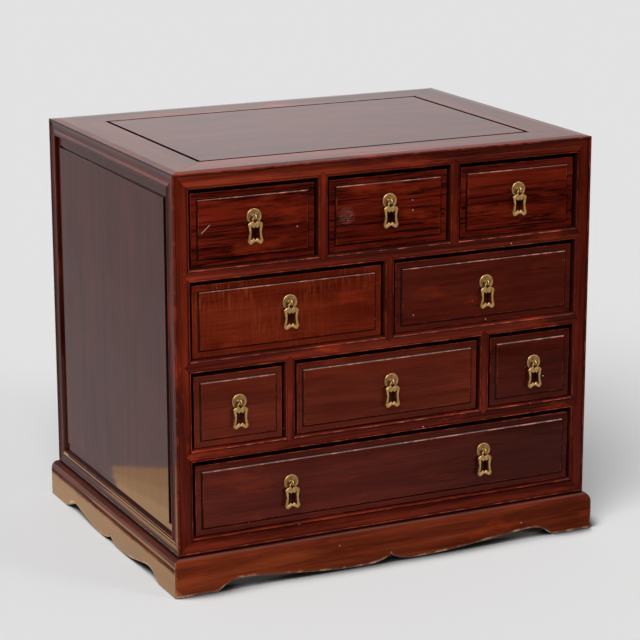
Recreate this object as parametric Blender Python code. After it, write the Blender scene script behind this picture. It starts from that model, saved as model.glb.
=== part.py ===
"""Apothecary chest: a nine-drawer table chest in lacquered hardwood on a scalloped stand.

The case is a frame of coved members with three-way mitred corners. Its front rails and dividers
meet in pointed mitred shoulders. Panels float in grooves, and each drawer has a brass pendant pull.
Metres, +Z up, front towards -Y, origin on the floor under the middle of the stand.
"""

import math

import bmesh
import bpy
from mathutils import Vector

# Overall sizes
CASE_WIDTH = 0.600
CASE_DEPTH = 0.448
CASE_HEIGHT = 0.496
PLINTH_HEIGHT = 0.051
PLINTH_OVERHANG = 0.0086

# Clearance between pieces that seat on each other
GAP = 0.0003

# Moulded frame members: widths of the faces, and the profile that they share
FRAME_FACE = 0.0208
RAIL_FACE = 0.0137
DIVIDER_FACE = 0.0112
CORNER_RADIUS = 0.0015
CORNER_FILLET = 0.0030
ARRIS = 0.0010
QUIRK = 0.0004
COVE_DEPTH = 0.0022
NARROW_COVE_DEPTH = 0.0015
LIP_WIDTH = 0.0030
FRONT_LIP = 0.0055
SIDE_LIP = 0.0040
POST_DEPTH = 0.030
RAIL_DEPTH = 0.034
DIVIDER_DEPTH = 0.038

# Grooves and the panels that float in them
GROOVE_DEPTH = 0.006
GROOVE_LAND = 0.0005
SIDE_TONGUE = 0.006
SIDE_BORDER = 0.010
SIDE_FIELD_RISE = 0.0026
SIDE_FIELD_BEVEL = 0.0020
BACK_INSET = 0.004
BACK_BOARD = 0.006
GLUE_BITE = 0.0005
TOP_FRAME_WIDTH = 0.060
TOP_TONGUE = 0.006
TOP_TONGUE_COVER = 0.005
TOP_GROOVE_WIDTH = 0.0050

# Boards inside the case
DUST_BOARD = 0.008
FLOOR_BOARD = 0.009
BOTTOM_FRAME_WIDTH = 0.045
PARTITION = 0.008
GUIDE_HEIGHT = 0.008

# Drawers: bay width of the small ones in the third row, and how far each row stands behind the frame
SMALL_BAY = 0.1256
ROW_SETBACKS = (0.0035, 0.0030, 0.0015, 0.0006)
DRAWER_SIDE_GAP = 0.0020
DRAWER_TOP_GAP = 0.0036
DRAWER_BOTTOM_GAP = 0.0006
FRONT_BOARD = 0.015
FRONT_BORDER = 0.008
FRONT_FIELD_RISE = 0.0020
FRONT_FIELD_BEVEL = 0.0018
TRAY_INSET = 0.0010
TRAY_DROP = 0.012
TRAY_SIDE = 0.008
TRAY_BOTTOM = 0.005
TRAY_BACK_CLEARANCE = 0.0020

# Pulls were set by eye: each place is measured to the right of and above the drawer's middle
PULL_PLACES = (
    ((0.000, 0.011),),
    ((0.000, 0.013),),
    ((0.000, 0.011),),
    ((0.001, 0.0125),),
    ((0.001, 0.008),),
    ((0.000, 0.008),),
    ((0.003, 0.008),),
    ((0.004, 0.007),),
    ((-0.142, 0.008), (0.142, 0.011)),
)
ROSETTE_RADIUS = 0.0102
ROSETTE_EDGE = 0.0012
ROSETTE_RIM = 0.0022
RIM_WIDTH = 0.0016
ROSETTE_DISH = 0.0013
PIN_RADIUS = 0.0013
PIN_NECK = 0.0025
PIN_LEG_LENGTH = 0.012
PIN_LEG_THICKNESS = 0.0012
EYE_WIRE = 0.0010
EYE_PLAY = 0.0003
PENDANT_WIDTH = 0.0208
PENDANT_DROP = 0.0342
PENDANT_BAR = 0.0010
PENDANT_PLAY = 0.0005
PENDANT_THICKNESS = 0.0022
PENDANT_EDGE = 0.0005
EYELET_PLAY = 0.0014
EYELET_SLACK = 0.0034

# Right halves of the pendant's outline and window: shares of its half width and of its drop
PENDANT_OUTLINE = (
    (0.42, 0.075),
    (0.40, 0.150),
    (0.64, 0.182),
    (0.94, 0.255),
    (0.93, 0.350),
    (0.82, 0.560),
    (0.93, 0.780),
    (1.00, 0.900),
    (0.70, 1.000),
    (0.32, 0.955),
    (0.00, 0.905),
)
WINDOW_OUTLINE = (
    (0.00, 0.352),
    (0.18, 0.405),
    (0.50, 0.338),
    (0.46, 0.575),
    (0.54, 0.865),
    (0.20, 0.775),
    (0.00, 0.845),
)

# Stand
APRON_THICKNESS = 0.022
APRON_ROUND_WIDTH = 0.0088
APRON_ROUND_HEIGHT = 0.013
FOOT_LENGTH = 0.060
ARCH_PEAK = 0.092
ARCH_RISE = 0.014
LOBE_REACH = 0.039
LOBE_CLEARANCE = 0.0015
ARCH_SKEW = 0.8

# Fineness of the round stretches
COVE_STEPS = 5
CORNER_STEPS = 3
ROUND_STEPS = 5
ARCH_STEPS = 6
ROSETTE_SIDES = 18
EYE_SIDES = 12
EYE_WIRE_SIDES = 6
HOLE_SIDES = 10
SPLINE_STEPS = 2
REACH = 0.002

# Worked out from the sizes above
FRAME_BASE = FRAME_FACE + LIP_WIDTH
RAIL_BASE = RAIL_FACE + 2 * LIP_WIDTH
DIVIDER_BASE = DIVIDER_FACE + 2 * LIP_WIDTH
CASE_BOTTOM = PLINTH_HEIGHT + GAP
CASE_TOP = CASE_BOTTOM + CASE_HEIGHT
ROWS = len(ROW_SETBACKS)
ROW_HEIGHT = (CASE_HEIGHT - 2 * FRAME_BASE - (ROWS - 1) * RAIL_BASE) / ROWS
BAY_WIDTH = CASE_WIDTH - 2 * FRAME_BASE
SIDE_GROOVE = SIDE_LIP + GROOVE_LAND
SIDE_GROOVE_INNER = SIDE_GROOVE + SIDE_TONGUE + 2 * GAP
BACK_GROOVE_INNER = BACK_INSET + BACK_BOARD + 2 * GAP
TONGUE_REACH = GROOVE_DEPTH - GAP
EYE_INNER = math.hypot(PENDANT_THICKNESS / 2, PENDANT_BAR) + EYE_PLAY
EYE_RADIUS = EYE_INNER + EYE_WIRE
FRONT_Y = -CASE_DEPTH / 2
BACK_Y = CASE_DEPTH / 2


def make_material(name, colour, roughness, metallic=0.0):
    """Principled material of one finish."""
    material = bpy.data.materials.new(name)
    material.use_nodes = True
    shader = material.node_tree.nodes["Principled BSDF"]
    shader.inputs["Base Color"].default_value = (*colour, 1.0)
    shader.inputs["Roughness"].default_value = roughness
    shader.inputs["Metallic"].default_value = metallic
    return material


def add_object(name, bm, material, parent=None, location=(0, 0, 0), turn=0.0):
    """Scene object from a finished bmesh, turned about Z."""
    mesh = bpy.data.meshes.new(name)
    bm.to_mesh(mesh)
    bm.free()
    return add_mesh_object(name, mesh, material, parent, location, turn)


def add_mesh_object(name, mesh, material, parent=None, location=(0, 0, 0), turn=0.0):
    """Scene object for a mesh that other objects may share."""
    if not mesh.materials:
        mesh.materials.append(material)
    item = bpy.data.objects.new(name, mesh)
    item.location = location
    item.rotation_euler = (0, 0, turn)
    item.parent = parent
    bpy.context.scene.collection.objects.link(item)
    return item


def add_helper(name, bm, parent=None):
    """Object that only shapes others through a Boolean."""
    item = add_object(name, bm, None, parent)
    item.hide_render = True
    item.display_type = "WIRE"
    return item


def combine(target, helper, operation):
    """Boolean of a helper on a target."""
    modifier = target.modifiers.new(helper.name, "BOOLEAN")
    modifier.operation = operation
    modifier.object = helper
    modifier.solver = "EXACT"


def swept_point(axis, along, a, b):
    """World point of a section point (a, b), at a distance along an axis."""
    if axis == "X":
        return (along, a, b)
    if axis == "Y":
        return (a, along, b)
    return (a, b, along)


def add_prism(bm, section, axis, low, high):
    """Sweep a closed section straight along an axis."""
    ends = []
    for along in (low, high):
        ends.append([bm.verts.new(swept_point(axis, along, a, b)) for a, b in section])
    faces = [bm.faces.new(ends[0]), bm.faces.new(ends[1])]
    for here in range(len(section)):
        after = (here + 1) % len(section)
        faces.append(bm.faces.new((ends[0][here], ends[0][after], ends[1][after], ends[1][here])))
    bmesh.ops.recalc_face_normals(bm, faces=faces)


def prism(section, axis, low, high):
    """Solid of one straight sweep."""
    bm = bmesh.new()
    add_prism(bm, section, axis, low, high)
    return bm


def boxes(*corners):
    """Solid of separate boxes, each given by its low and high corner."""
    bm = bmesh.new()
    for low, high in corners:
        section = ((low[0], low[1]), (high[0], low[1]), (high[0], high[1]), (low[0], high[1]))
        add_prism(bm, section, "Z", low[2], high[2])
    return bm


def rectangle_stack(levels):
    """Solid through level rectangles, each (low x, high x, low y, high y, z), closed at both ends."""
    bm = bmesh.new()
    rings = []
    for low_x, high_x, low_y, high_y, z in levels:
        corners = ((low_x, low_y), (high_x, low_y), (high_x, high_y), (low_x, high_y))
        rings.append([bm.verts.new((x, y, z)) for x, y in corners])
    bm.faces.new(rings[0])
    bm.faces.new(rings[-1])
    for lower, upper in zip(rings, rings[1:]):
        for here in range(4):
            after = (here + 1) % 4
            bm.faces.new((lower[here], lower[after], upper[after], upper[here]))
    bmesh.ops.recalc_face_normals(bm, faces=bm.faces[:])
    return bm


def slice_off(bm, point, normal):
    """Take away what lies on the normal's side of a plane, and close the cut."""
    parts = bm.verts[:] + bm.edges[:] + bm.faces[:]
    cut = bmesh.ops.bisect_plane(
        bm, geom=parts, dist=1e-7, plane_co=point, plane_no=normal, clear_outer=True
    )
    rim = [part for part in cut["geom_cut"] if isinstance(part, bmesh.types.BMEdge)]
    bmesh.ops.holes_fill(bm, edges=rim, sides=0)
    bmesh.ops.recalc_face_normals(bm, faces=bm.faces[:])


def mitre(bm, corner, normal):
    """Cut a member at a mitre plane, half a gap short of its neighbour."""
    direction = Vector(normal).normalized()
    slice_off(bm, Vector(corner) - direction * GAP / 2, direction)


def point_end(bm, tip, across, outward):
    """Cut a bar to a right-angled point: tip of the point, axis across the bar, way the bar points."""
    for side in (-1, 1):
        mitre(bm, tip, Vector(outward) + side * Vector(across))


def cove(start, end, depth):
    """Arc sunk between two fillets, as points (across, into)."""
    half = (end - start) / 2
    sag = depth - QUIRK
    radius = (half * half + sag * sag) / (2 * sag)
    points = []
    for step in range(COVE_STEPS + 1):
        across = half * (2 * step / COVE_STEPS - 1)
        into = QUIRK + math.sqrt(radius * radius - across * across) - (radius - sag)
        points.append((start + half + across, into))
    return points


def outer_face(lip_depth):
    """Moulded face of an outer member, from its rounded corner to the foot of its lip: (across, into)."""
    return [
        (CORNER_FILLET, 0),
        *cove(CORNER_FILLET, FRAME_FACE - ARRIS, COVE_DEPTH),
        (FRAME_FACE - ARRIS, 0),
        (FRAME_FACE, 0),
        (FRAME_BASE, lip_depth),
    ]


def bar_section(face, depth):
    """Section of a front rail or divider about its middle line: (across, into), lips on both sides."""
    half = face / 2
    return [
        (-half - LIP_WIDTH, FRONT_LIP),
        (-half, 0),
        (ARRIS - half, 0),
        *cove(ARRIS - half, half - ARRIS, NARROW_COVE_DEPTH),
        (half - ARRIS, 0),
        (half, 0),
        (half + LIP_WIDTH, FRONT_LIP),
        (half + LIP_WIDTH, depth),
        (-half - LIP_WIDTH, depth),
    ]


def corner_round():
    """Rounded outer corner, from the second face to the first."""
    points = []
    for step in range(CORNER_STEPS + 1):
        angle = math.pi + math.pi / 2 * step / CORNER_STEPS
        points.append((CORNER_RADIUS * (1 + math.cos(angle)), CORNER_RADIUS * (1 + math.sin(angle))))
    return points


def swapped(points):
    """Section points with their two distances exchanged, in the opposite order."""
    return [(b, a) for a, b in reversed(points)]


def side_groove():
    """Groove of the side panel in a member's inner face: (from the side, from the frame's edge)."""
    bottom = FRAME_BASE - GROOVE_DEPTH
    return [
        (SIDE_GROOVE_INNER, FRAME_BASE),
        (SIDE_GROOVE_INNER, bottom),
        (SIDE_GROOVE, bottom),
        (SIDE_GROOVE, FRAME_BASE),
    ]


def front_post_section():
    """Front post with two moulded faces and the side panel's groove: (from the side, from the front)."""
    return [
        *corner_round(),
        *outer_face(FRONT_LIP),
        (FRAME_BASE, POST_DEPTH),
        (SIDE_GROOVE_INNER, POST_DEPTH),
        *side_groove()[1:],
        *swapped(outer_face(SIDE_LIP)),
    ]


def back_post_section():
    """Back post with a plain back and both panels' grooves: (from the side, from the back)."""
    return [
        *corner_round(),
        (FRAME_BASE, 0),
        (FRAME_BASE, BACK_INSET),
        (FRAME_BASE - GROOVE_DEPTH, BACK_INSET),
        (FRAME_BASE - GROOVE_DEPTH, BACK_GROOVE_INNER),
        (FRAME_BASE, BACK_GROOVE_INNER),
        (FRAME_BASE, FRAME_BASE),
        *side_groove(),
        *swapped(outer_face(SIDE_LIP)),
    ]


def top_rail_inner():
    """Inner edge of a top rail with the groove of the top panel: (from the outside, from the top)."""
    under = TOP_TONGUE_COVER + TOP_TONGUE + 2 * GAP
    return [
        (TOP_FRAME_WIDTH, 0),
        (TOP_FRAME_WIDTH, TOP_TONGUE_COVER),
        (TOP_FRAME_WIDTH - GROOVE_DEPTH, TOP_TONGUE_COVER),
        (TOP_FRAME_WIDTH - GROOVE_DEPTH, under),
        (TOP_FRAME_WIDTH, under),
        (TOP_FRAME_WIDTH, FRAME_BASE),
    ]


def top_rail_section(kind):
    """Section of a top rail: (from the outside, from the top)."""
    start = [*corner_round(), *top_rail_inner()]
    if kind == "front":
        return [*start, *swapped(outer_face(FRONT_LIP))]
    if kind == "side":
        return [*start, *side_groove(), *swapped(outer_face(SIDE_LIP))]
    bottom = FRAME_BASE - GROOVE_DEPTH
    return [
        *start,
        (BACK_GROOVE_INNER, FRAME_BASE),
        (BACK_GROOVE_INNER, bottom),
        (BACK_INSET, bottom),
        (BACK_INSET, FRAME_BASE),
        (0, FRAME_BASE),
    ]


def raised_panel(width, height, thickness, border, rise, bevel):
    """Board in the XZ plane with a raised field towards -Y. The field's face is at Y = 0."""
    bm = bmesh.new()
    steps = (
        (width / 2, height / 2, rise + thickness),
        (width / 2, height / 2, rise),
        (width / 2 - border, height / 2 - border, rise),
        (width / 2 - border - bevel, height / 2 - border - bevel, 0),
    )
    rings = []
    for half_x, half_z, y in steps:
        corners = ((-half_x, -half_z), (half_x, -half_z), (half_x, half_z), (-half_x, half_z))
        rings.append([bm.verts.new((x, y, z)) for x, z in corners])
    bm.faces.new(rings[0])
    bm.faces.new(rings[-1])
    for behind, before in zip(rings, rings[1:]):
        for here in range(4):
            after = (here + 1) % 4
            bm.faces.new((behind[here], behind[after], before[after], before[here]))
    bmesh.ops.recalc_face_normals(bm, faces=bm.faces[:])
    return bm


def revolved(profile, sides):
    """Solid turned about the Y axis from points (radius, y); the first and last lie on the axis."""
    bm = bmesh.new()
    first = bm.verts.new((0, profile[0][1], 0))
    last = bm.verts.new((0, profile[-1][1], 0))
    rings = []
    for radius, y in profile[1:-1]:
        ring = []
        for step in range(sides):
            angle = 2 * math.pi * step / sides
            ring.append(bm.verts.new((radius * math.cos(angle), y, radius * math.sin(angle))))
        rings.append(ring)
    for here in range(sides):
        after = (here + 1) % sides
        bm.faces.new((first, rings[0][after], rings[0][here]))
        bm.faces.new((last, rings[-1][here], rings[-1][after]))
        for ring, following in zip(rings, rings[1:]):
            bm.faces.new((ring[here], ring[after], following[after], following[here]))
    bmesh.ops.recalc_face_normals(bm, faces=bm.faces[:])
    return bm


def ring_about_x(radius, wire, sides, wire_sides, centre_y):
    """Round wire bent to a ring about the X axis."""
    bm = bmesh.new()
    loops = []
    for step in range(sides):
        angle = 2 * math.pi * (step + 0.5) / sides
        loop = []
        for turn in range(wire_sides):
            around = 2 * math.pi * turn / wire_sides
            reach = radius + wire * math.cos(around)
            y = centre_y + reach * math.cos(angle)
            loop.append(bm.verts.new((wire * math.sin(around), y, reach * math.sin(angle))))
        loops.append(loop)
    for here in range(sides):
        loop, following = loops[here], loops[(here + 1) % sides]
        for turn in range(wire_sides):
            after = (turn + 1) % wire_sides
            bm.faces.new((loop[turn], loop[after], following[after], following[turn]))
    bmesh.ops.recalc_face_normals(bm, faces=bm.faces[:])
    return bm


def smooth_loop(half):
    """Closed outline from a right half, given top to bottom on the middle line, as a smooth curve."""
    loop = [*half, *((-x, z) for x, z in reversed(half[1:-1]))]
    count = len(loop)
    points = []
    for here in range(count):
        before, start = Vector(loop[here - 1]), Vector(loop[here])
        end, after = Vector(loop[(here + 1) % count]), Vector(loop[(here + 2) % count])
        for step in range(SPLINE_STEPS):
            t = step / SPLINE_STEPS
            bend = 2 * before - 5 * start + 4 * end - after
            twist = 3 * start - before - 3 * end + after
            points.append(start + (t * (end - before) + t * t * bend + t**3 * twist) / 2)
    return points


def mirrored_loop(half):
    """Closed outline with sharp corners from a right half."""
    return [*half, *((-x, z) for x, z in reversed(half) if x > 0)]


for old in list(bpy.data.objects):
    bpy.data.objects.remove(old)

FRAME_WOOD = make_material("lacquered_frame_wood", (0.105, 0.014, 0.006), 0.28)
PANEL_WOOD = make_material("lacquered_panel_wood", (0.090, 0.016, 0.010), 0.25)
FRONT_WOOD = make_material("lacquered_drawer_wood", (0.080, 0.010, 0.006), 0.28)
STAND_WOOD = make_material("lacquered_stand_wood", (0.130, 0.022, 0.007), 0.30)
BARE_WOOD = make_material("bare_inner_wood", (0.300, 0.160, 0.080), 0.70)
BRASS = make_material("aged_brass", (0.560, 0.390, 0.130), 0.35, 1.0)


def row_floor(row):
    """Height that the drawers of a row run on, row 0 at the top."""
    return CASE_TOP - FRAME_BASE - ROW_HEIGHT - row * (ROW_HEIGHT + RAIL_BASE)


def divider_middles():
    """For each row, the dividers' middle lines, from left to right."""
    third = (BAY_WIDTH - 2 * DIVIDER_BASE) / 3
    row_1 = (third + DIVIDER_BASE) / 2
    row_3 = BAY_WIDTH / 2 - SMALL_BAY - DIVIDER_BASE / 2
    return ((-row_1, row_1), (0.0,), (-row_3, row_3), ())


def bays():
    """Every drawer's bay, top row first: (row, middle x, width)."""
    found = []
    for row, middles in enumerate(divider_middles()):
        lows = [-BAY_WIDTH / 2, *(middle + DIVIDER_BASE / 2 for middle in middles)]
        highs = [*(middle - DIVIDER_BASE / 2 for middle in middles), BAY_WIDTH / 2]
        for low, high in zip(lows, highs):
            found.append((row, (low + high) / 2, high - low))
    return found


def rail_middle(row):
    """Middle height of the front rail under a row."""
    return row_floor(row) - RAIL_BASE / 2


def post_solid(side, depth, section):
    """Corner post between its mitres. Side and depth are -1 or 1: left or right, front or back."""
    world = [(side * (CASE_WIDTH / 2 - u), depth * (CASE_DEPTH / 2 - v)) for u, v in section]
    bm = prism(world, "Z", CASE_BOTTOM, CASE_TOP)
    for z, up in ((CASE_TOP, 1), (CASE_BOTTOM, -1)):
        corner = (side * CASE_WIDTH / 2, depth * CASE_DEPTH / 2, z)
        mitre(bm, corner, (-side, 0, up))
        mitre(bm, corner, (0, -depth, up))
    return bm


def add_front_posts():
    """Front corner posts, with seats for the front rails' pointed shoulders."""
    for side, hand in ((-1, "left"), (1, "right")):
        post = add_object(f"post_front_{hand}", post_solid(side, -1, front_post_section()), FRAME_WOOD)
        combine(post, post_seats(side, hand), "DIFFERENCE")


def post_seats(side, hand):
    """Seats of the three front rails in a front post."""
    bm = bmesh.new()
    tip = CASE_WIDTH / 2 - FRAME_FACE + RAIL_FACE / 2 + GAP * math.sqrt(2)
    opening = CASE_WIDTH / 2 - FRAME_BASE - REACH
    for row in range(ROWS - 1):
        z = rail_middle(row)
        half = tip - opening
        section = ((side * tip, z), (side * opening, z - half), (side * opening, z + half))
        add_prism(bm, section, "Y", FRONT_Y - REACH, FRONT_Y + RAIL_DEPTH + REACH)
    return add_helper(f"rail_seats_{hand}", bm)


def long_rail_solid(depth, kind):
    """Front or back rail of the top frame between its mitres."""
    section = [(depth * (CASE_DEPTH / 2 - v), CASE_TOP - w) for v, w in top_rail_section(kind)]
    bm = prism(section, "X", -CASE_WIDTH / 2, CASE_WIDTH / 2)
    for side in (-1, 1):
        corner = (side * CASE_WIDTH / 2, depth * CASE_DEPTH / 2, CASE_TOP)
        mitre(bm, corner, (side, -depth, 0))
        mitre(bm, corner, (side, 0, -1))
    return bm


def add_top():
    """Front and side rails of the mitred top frame, and the flush panel floated in it."""
    front = add_object("top_rail_front", long_rail_solid(-1, "front"), FRAME_WOOD)
    seats = divider_seats("top", divider_middles()[0], CASE_TOP - FRAME_FACE, 1)
    combine(front, seats, "DIFFERENCE")
    for side, name in ((-1, "left"), (1, "right")):
        section = [
            (side * (CASE_WIDTH / 2 - u), CASE_TOP - w) for u, w in top_rail_section("side")
        ]
        bm = prism(section, "Y", FRONT_Y, BACK_Y)
        for depth in (-1, 1):
            corner = (side * CASE_WIDTH / 2, depth * CASE_DEPTH / 2, CASE_TOP)
            mitre(bm, corner, (-side, depth, 0))
            mitre(bm, corner, (0, depth, -1))
        add_object(f"top_rail_{name}", bm, FRAME_WOOD)
    tongue = TOP_FRAME_WIDTH - TONGUE_REACH
    field = TOP_FRAME_WIDTH + TOP_GROOVE_WIDTH
    tongue_top = CASE_TOP - TOP_TONGUE_COVER - GAP
    levels = []
    for inset, z in (
        (tongue, tongue_top - TOP_TONGUE),
        (tongue, tongue_top),
        (field, tongue_top),
        (field, CASE_TOP),
    ):
        half_x, half_y = CASE_WIDTH / 2 - inset, CASE_DEPTH / 2 - inset
        levels.append((-half_x, half_x, -half_y, half_y, z))
    add_object("top_panel", rectangle_stack(levels), PANEL_WOOD)


def add_side_panels():
    """Side panels with a raised field, tongued into posts and rails."""
    width = CASE_DEPTH - 2 * FRAME_BASE + 2 * TONGUE_REACH
    height = CASE_HEIGHT - 2 * FRAME_BASE + 2 * TONGUE_REACH
    border = SIDE_BORDER + TONGUE_REACH
    face = CASE_WIDTH / 2 - SIDE_GROOVE - GAP + SIDE_FIELD_RISE
    middle = (CASE_BOTTOM + CASE_TOP) / 2
    for side, name in ((-1, "left"), (1, "right")):
        bm = raised_panel(width, height, SIDE_TONGUE, border, SIDE_FIELD_RISE, SIDE_FIELD_BEVEL)
        place = (side * face, 0, middle)
        add_object(f"side_panel_{name}", bm, PANEL_WOOD, location=place, turn=side * math.pi / 2)


def add_back_frame():
    """Back posts, back rail and back board in one: the board's edges are glued into their grooves."""
    glued = GROOVE_DEPTH + GLUE_BITE
    half_x = CASE_WIDTH / 2 - FRAME_BASE + glued
    near = BACK_Y - BACK_INSET - GAP - BACK_BOARD
    low, high = CASE_BOTTOM + FRAME_BASE - TONGUE_REACH, CASE_TOP - FRAME_BASE + glued
    board = boxes(((-half_x, near, low), (half_x, near + BACK_BOARD, high)))
    frame = add_object("back_frame", board, FRAME_WOOD)
    solids = (
        ("back_post_left", post_solid(-1, 1, back_post_section())),
        ("back_post_right", post_solid(1, 1, back_post_section())),
        ("back_rail", long_rail_solid(1, "back")),
    )
    for name, solid in solids:
        combine(frame, add_helper(name, solid), "UNION")


def add_bottom():
    """Bottom frame and floor board in one: moulded edges, seats for the posts, panel grooves."""
    recess = BOTTOM_FRAME_WIDTH
    edges = [
        (recess, recess, recess, FRAME_BASE - FLOOR_BOARD),
        (recess, recess, recess, 0),
        *((b, b, b, a) for a, b in corner_round()),
    ]
    for (across, front), (_, sides) in zip(outer_face(FRONT_LIP), outer_face(SIDE_LIP)):
        edges.append((sides, front, 0, across))
    levels = []
    for sides, front, back, up in edges:
        half_x = CASE_WIDTH / 2 - sides
        levels.append((-half_x, half_x, FRONT_Y + front, BACK_Y - back, CASE_BOTTOM + up))
    bm = rectangle_stack(levels)
    plain_back = [face for face in bm.faces if all(vert.co.y > BACK_Y - GAP for vert in face.verts)]
    bmesh.ops.dissolve_faces(bm, faces=plain_back)
    bottom = add_object("case_bottom", bm, FRAME_WOOD)
    combine(bottom, bottom_post_seats(), "DIFFERENCE")
    combine(bottom, bottom_grooves(), "DIFFERENCE")


def bottom_post_seats():
    """Pointed seats of the four posts in the bottom frame's corners."""
    bm = bmesh.new()
    short = GAP / math.sqrt(2)
    for side in (-1, 1):
        for depth in (-1, 1):
            rings = []
            for up in (-REACH, FRAME_BASE + REACH):
                ring = []
                for u, v in ((0, 0), (1, 0), (1, 1), (0, 1)):
                    x = CASE_WIDTH / 2 - (up + short if u else -2 * REACH)
                    y = CASE_DEPTH / 2 - (up + short if v else -2 * REACH)
                    ring.append(bm.verts.new((side * x, depth * y, CASE_BOTTOM + up)))
                rings.append(ring)
            faces = [bm.faces.new(rings[0]), bm.faces.new(rings[1])]
            for here in range(4):
                after = (here + 1) % 4
                faces.append(
                    bm.faces.new((rings[0][here], rings[0][after], rings[1][after], rings[1][here]))
                )
            bmesh.ops.recalc_face_normals(bm, faces=faces)
    return add_helper("bottom_post_seats", bm)


def bottom_grooves():
    """Grooves of the side and back panels in the bottom frame."""
    low = CASE_BOTTOM + FRAME_BASE - GROOVE_DEPTH
    high = CASE_BOTTOM + FRAME_BASE + REACH
    end = CASE_DEPTH / 2 - FRAME_BASE + GROOVE_DEPTH
    inner = CASE_WIDTH / 2 - SIDE_GROOVE_INNER
    outer = CASE_WIDTH / 2 - SIDE_GROOVE
    back_end = CASE_WIDTH / 2 - FRAME_BASE + GROOVE_DEPTH
    return add_helper(
        "bottom_grooves",
        boxes(
            ((-outer, -end, low), (-inner, end, high)),
            ((inner, -end, low), (outer, end, high)),
            ((-back_end, BACK_Y - BACK_GROOVE_INNER, low), (back_end, BACK_Y - BACK_INSET, high)),
        ),
    )


def divider_seats(name, middles, arris, up):
    """Seats of dividers' pointed ends past an arris, upwards or downwards."""
    bm = bmesh.new()
    tip = arris + up * (DIVIDER_FACE / 2 + GAP * math.sqrt(2))
    opening = arris - up * (LIP_WIDTH + REACH)
    half = abs(tip - opening)
    for middle in middles:
        section = ((middle, tip), (middle - half, opening), (middle + half, opening))
        add_prism(bm, section, "Y", FRONT_Y - REACH, FRONT_Y + DIVIDER_DEPTH + GAP)
    return add_helper(f"divider_seats_{name}", bm)


def add_shelves():
    """Front rails with their pointed ends, each in one with the dust board and guides behind it."""
    board_x = CASE_WIDTH / 2 - SIDE_GROOVE_INNER
    guide_x = CASE_WIDTH / 2 - FRAME_BASE
    tip_x = CASE_WIDTH / 2 - FRAME_FACE + RAIL_FACE / 2
    middles = divider_middles()
    for row in range(ROWS - 1):
        z = rail_middle(row)
        top = row_floor(row)
        section = [(FRONT_Y + v, z + a) for a, v in bar_section(RAIL_FACE, RAIL_DEPTH)]
        bm = prism(section, "X", -tip_x, tip_x)
        for side in (-1, 1):
            point_end(bm, (side * tip_x, FRONT_Y, z), (0, 0, 1), (side, 0, 0))
        shelf = add_object(f"shelf_{row + 1}", bm, FRAME_WOOD)
        trough = [
            (-board_x, top - DUST_BOARD),
            (board_x, top - DUST_BOARD),
            (board_x, top + GUIDE_HEIGHT),
            (guide_x, top + GUIDE_HEIGHT),
            (guide_x, top),
            (-guide_x, top),
            (-guide_x, top + GUIDE_HEIGHT),
            (-board_x, top + GUIDE_HEIGHT),
        ]
        near, far = FRONT_Y + POST_DEPTH + GAP, BACK_Y - BACK_GROOVE_INNER
        board = add_helper(f"dust_board_{row + 1}", prism(trough, "Y", near, far))
        combine(shelf, board, "UNION")
        combine(shelf, back_post_clearance(row, top), "DIFFERENCE")
        if middles[row]:
            seats = divider_seats(f"over_{row + 1}", middles[row], z + RAIL_FACE / 2, -1)
            combine(shelf, seats, "DIFFERENCE")
        if middles[row + 1]:
            seats = divider_seats(f"under_{row + 1}", middles[row + 1], z - RAIL_FACE / 2, 1)
            combine(shelf, seats, "DIFFERENCE")


def back_post_clearance(row, top):
    """Corners of a dust board that are cut away round the back posts."""
    inner_x = CASE_WIDTH / 2 - FRAME_BASE - GAP
    outer_x = CASE_WIDTH / 2
    near = BACK_Y - FRAME_BASE - GAP
    low, high = top - DUST_BOARD - REACH, top + GUIDE_HEIGHT + REACH
    return add_helper(
        f"back_post_clearance_{row + 1}",
        boxes(
            ((-outer_x, near, low), (-inner_x, BACK_Y, high)),
            ((inner_x, near, low), (outer_x, BACK_Y, high)),
        ),
    )


def add_dividers():
    """Dividers with pointed ends, each in one with its partition and drawer guides."""
    number = 0
    for row, middles in enumerate(divider_middles()):
        floor = row_floor(row)
        ceiling = floor + ROW_HEIGHT
        low_tip = floor - LIP_WIDTH - DIVIDER_FACE / 2
        high_tip = ceiling + LIP_WIDTH + DIVIDER_FACE / 2
        board_under = ceiling + (RAIL_BASE - DUST_BOARD if row else 0)
        for middle in middles:
            number += 1
            section = [(middle + a, FRONT_Y + v) for a, v in bar_section(DIVIDER_FACE, DIVIDER_DEPTH)]
            bm = prism(section, "Z", low_tip, high_tip)
            for z, up in ((low_tip, -1), (high_tip, 1)):
                point_end(bm, (middle, FRONT_Y, z), (1, 0, 0), (0, 0, up))
            divider = add_object(f"divider_{number}", bm, FRAME_WOOD)
            web = PARTITION / 2
            foot = DIVIDER_BASE / 2 - GAP
            tee = [
                (middle - foot, floor + GAP),
                (middle + foot, floor + GAP),
                (middle + foot, floor + GUIDE_HEIGHT),
                (middle + web, floor + GUIDE_HEIGHT),
                (middle + web, board_under - GAP),
                (middle - web, board_under - GAP),
                (middle - web, floor + GUIDE_HEIGHT),
                (middle - foot, floor + GUIDE_HEIGHT),
            ]
            near, far = FRONT_Y + RAIL_DEPTH + GAP, BACK_Y - BACK_GROOVE_INNER
            partition = add_helper(f"partition_{number}", prism(tee, "Y", near, far))
            combine(divider, partition, "UNION")


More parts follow.
